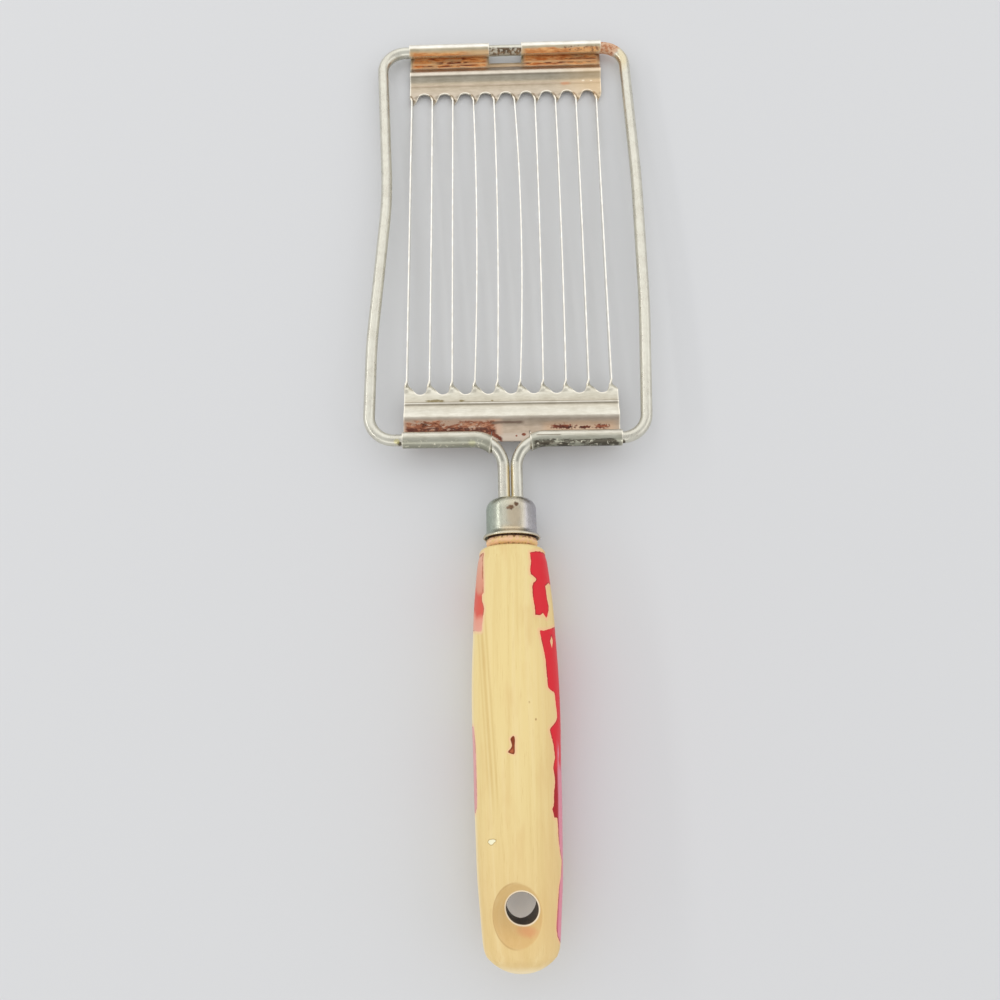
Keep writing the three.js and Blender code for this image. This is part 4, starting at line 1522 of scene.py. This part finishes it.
def plain_wood(look):
    """Pale dry wood with its grain along the handle."""
    grain = look.noise(0.5, stretch=(1, 0.02, 1), detail=4, rough=0.6)
    fibre = look.noise(3, stretch=(1, 0.05, 1), detail=4, rough=0.7)
    cloud = look.noise(0.12, stretch=(1.5, 0.4, 1), shift=(2, 1, 0), detail=3)
    look.colour = look.ramp(look.along, wood_colours)
    look.tint(look.step(grain, 0.46, 0.62), (226, 194, 124), 0.3)
    look.tint(look.step(grain, 0.46, 0.34), (250, 228, 172), 0.35)
    look.tint(look.step(fibre, 0.54, 0.72), (210, 172, 104), 0.28)
    look.tint(look.step(cloud, 0.5, 0.7), (232, 198, 134), 0.5)
    look.tint(look.step(look.x, 3, 9), (232, 196, 136), 0.35)
    across = look.plus(look.plus(look.x, 9.6), look.along, -0.0615)
    for place, width in ((0, 0.35), (1.1, 0.2), (-0.9, 0.15)):
        streak = look.times(look.window(across, place - width, place + width, 0.35), look.rows(16, 62, 8))
        look.tint(streak, (214, 178, 106), 0.5)
    look.rough = look.plus(0.48, fibre, 0.15)
    look.height = look.times(fibre, 0.02)


def add_paint(look, stored, colour, edge, halo, ragged=0.5):
    """Paint with a ragged edge, a dark rim just inside it and a stained halo outside it. The dark rim is
    partly the paint's own darker edge and partly painted shadow of its thickness.
    """
    fine = look.sway(1.3, detail=5, rough=0.65)
    inside = look.plus(look.stored(stored), fine, ragged)
    coarse = look.sway(0.3, middle=0.52, stretch=(1, 0.5, 1), shift=(5, 2, 7), detail=6, rough=0.65)
    around = look.math("ABSOLUTE", look.stored("turn"))
    inside = look.plus(inside, look.times(coarse, look.step(around, 80, 100)), 9.0)
    paint = look.step(inside, -0.05, 0.07)
    look.tint(look.step(inside, -1.0, -0.15), halo, 0.75)
    look.tint(paint, colour)
    broken = look.spots(0.4, 0.55, 0.35, shift=(8, 1, 2), detail=4)
    # The dark rim: the paint's darker edge with painted shadow of its thickness.
    look.tint(look.times(paint, look.step(inside, 0.42, 0.12), broken), edge, 0.8)
    look.rough = look.blend(paint, look.rough, 0.42)
    look.height = look.plus(look.height, look.step(inside, -0.15, 0.25), 0.03)


def add_chips(look):
    chip = look.stored("brown_chip")
    look.tint(look.step(chip, -0.55, -0.1), (250, 206, 160), 0.8)
    look.tint(look.step(chip, -0.08, 0.04), (136, 56, 24))
    look.tint(look.times(look.step(chip, 0.12, 0.3), look.past(48.2, 49.4)), (190, 100, 62), 0.9)
    chip = look.stored("pale_chip")
    # Painted shadow round the edge of the pale chip.
    look.tint(look.step(chip, -0.3, -0.05), (190, 160, 100), 0.8)
    look.tint(look.step(chip, -0.05, 0.06), (255, 250, 214))
    for middle, reach, share in (((4.6, 43.1), (0.3, 0.4), 0.7), ((3.1, 39.1), (0.3, 0.4), 0.35)):
        look.tint(look.patch(middle, reach, 0.6, 0.6, 1.5), (160, 110, 60), share)


def add_collar(look):
    """The torn collar above the shoulder, with a dark line in the crease at the shoulder, and the wood inside
    the ferrule, which is painted dark as shade.
    """
    bare = look.past(-0.05, -0.35)
    look.tint(bare, (252, 206, 164))
    look.tint(look.times(bare, look.spots(0.46, 0.6, 0.9, detail=5, rough=0.65)), (240, 208, 138), 0.8)
    specks = look.spots(0.5, 0.58, 1.5, stretch=(1, 0.5, 1), shift=(3, 3, 3), detail=4)
    crease = look.rows(-0.55, -0.05, 0.15)
    look.tint(look.times(crease, look.plus(0.35, specks, 0.65)), (128, 84, 46), 0.75)
    ticks = look.times(look.past(-1.5, -1.95), specks)
    look.tint(ticks, (140, 84, 50), 0.8)
    # Painted shade: the gap under the ferrule's lip and the wood inside it are painted near black.
    look.tint(look.past(-2.05, -2.4), (60, 34, 22), 0.95)


def add_hole(look):
    """The hang hole's dish with painted shade on its side towards the shoulder and along its left edge, its
    pale rim, which is a painted highlight, and its dark wall, which is painted shade.
    """
    dish = look.stored("dish")
    inside = look.step(dish, 0.0, 0.35)
    # Painted shade in the dish: darker on its side towards the shoulder.
    low = look.past(84, 92)
    shade = look.mix(low, (212, 170, 106), (232, 184, 116))
    look.colour = look.mix(look.times(inside, 0.45), look.colour, shade)
    # Painted shade along the dish's left edge.
    look.tint(look.times(look.window(dish, -0.1, 0.2, 0.15), look.step(look.x, 1, -3)), (196, 152, 92), 0.6)
    hole_y = hole_along / mm
    orange = look.patch((1.6, hole_y + 4.9), (3.6, 1.6), 0.8, 0.8)
    look.tint(look.times(orange, inside), (234, 160, 112), 0.6)
    across = look.minus(look.x, hole_middle.x / mm + handle_shift(hole_middle.y) / mm)
    along = look.minus(look.along, hole_y)
    far = look.minus(look.length(across, along), hole_radius / mm)
    # A painted highlight on the hole's rounded rim, and painted shade on its wall.
    look.tint(look.step(far, 0.5, 0.3), (255, 240, 212), 0.9)
    look.tint(look.step(far, 0.14, 0.05), (58, 40, 28), 0.95)


def wood_finish():
    look = Finish("worn_wood", rough=0.55)
    look.shader.inputs["Specular IOR Level"].default_value = 0.3
    look.along = look.minus(shoulder / mm, look.y)
    plain_wood(look)
    add_chips(look)
    turn = look.stored("turn")
    # Where the paint turns away on the right side, the red is lightened to pink: a painted glare on the
    # glossy paint.
    glare_turn = look.plus(turn, look.noise(0.8, stretch=(1, 0.1, 1), detail=4), 8.0)
    streaks = look.noise(0.6, stretch=(1, 0.08, 1), shift=(2, 5, 8), detail=5, rough=0.65)
    glare_along = look.plus(look.along, streaks, 60.0)
    wear_and_glare = look.times(look.step(glare_turn, 62, 69), look.step(glare_along, 77, 83))
    red = look.mix(look.rows(55, 72, 2), (226, 34, 48), (176, 20, 32))
    red = look.mix(look.past(70, 78), red, (204, 96, 108))
    red = look.mix(wear_and_glare, red, (230, 142, 160))
    # Painted highlight: the handle's left edge and the rim of its tip are lightened.
    painted_edge_highlight = look.any(look.step(turn, -66, -84), look.past(96.2, 98.6))
    look.tint(painted_edge_highlight, (255, 240, 204), 0.7)
    add_paint(look, "red_paint", red, (160, 20, 26), (250, 198, 152))
    wander = look.sway(0.25, stretch=(1, 0.3, 1), shift=(3, 9, 4), detail=5)
    wander = look.times(wander, look.step(look.math("ABSOLUTE", turn), 56, 76))
    faded = look.ramp(look.plus(look.along, wander, 11.0), faded_colours)
    add_paint(look, "faded_paint", faded, (176, 104, 76), (248, 208, 168))
    inner = look.times(look.window(look.stored("faded_paint"), 0.05, 0.7, 0.2), look.rows(1.5, 12.6, 0.8))
    inner = look.times(inner, look.spots(0.4, 0.5, 0.8, stretch=(1, 0.3, 1), detail=5, rough=0.65))
    look.tint(inner, (186, 108, 76), 0.8)
    add_hole(look)
    add_collar(look)
    return look.finish()


handle = make_handle(wood_finish())
put_in_frame(handle, "pale_wood", "handle")

# %% [markdown]
# ## The floor
# The slicer lies on the lower edges of its blades at the far bar and on its handle, close to the shoulder,
# where it is thickest. The floor is laid last, when both shapes are known: it starts level with the blades'
# edges and is turned down until it only just touches the wood.

# %% Make the floor
far_rest = Vector((0, far_roots, blade_low.z))
floor_reach = 4.0
floor_clearance = 0.05 * mm


def floor_lean():
    """The steepest line from the far rest to the handle's underside."""
    leans = []
    for along in handle_rows():
        drop = far_rest.z - (wire_height - half_thickness(along))
        leans.append(math.atan2(drop, far_rest.y - shoulder + along))
    return max(leans)


def make_floor():
    square = [(-1, -1), (1, -1), (1, 1), (-1, 1)]
    lean = Matrix.Rotation(floor_lean(), 3, "X")
    corners = [lean @ Vector((x * floor_reach, y * floor_reach, 0)) for x, y in square]
    floor = new_piece("floor", corners, faces=[(0, 1, 2, 3)])
    floor.location = far_rest - Vector((0, 0, floor_clearance))
    look = Finish("floor_paper", rough=0.8)
    look.colour = (222, 223, 224)
    floor.data.materials.append(look.finish())
    print("the floor leans by", round(floor_lean() / degree, 2), "degrees")


make_floor()
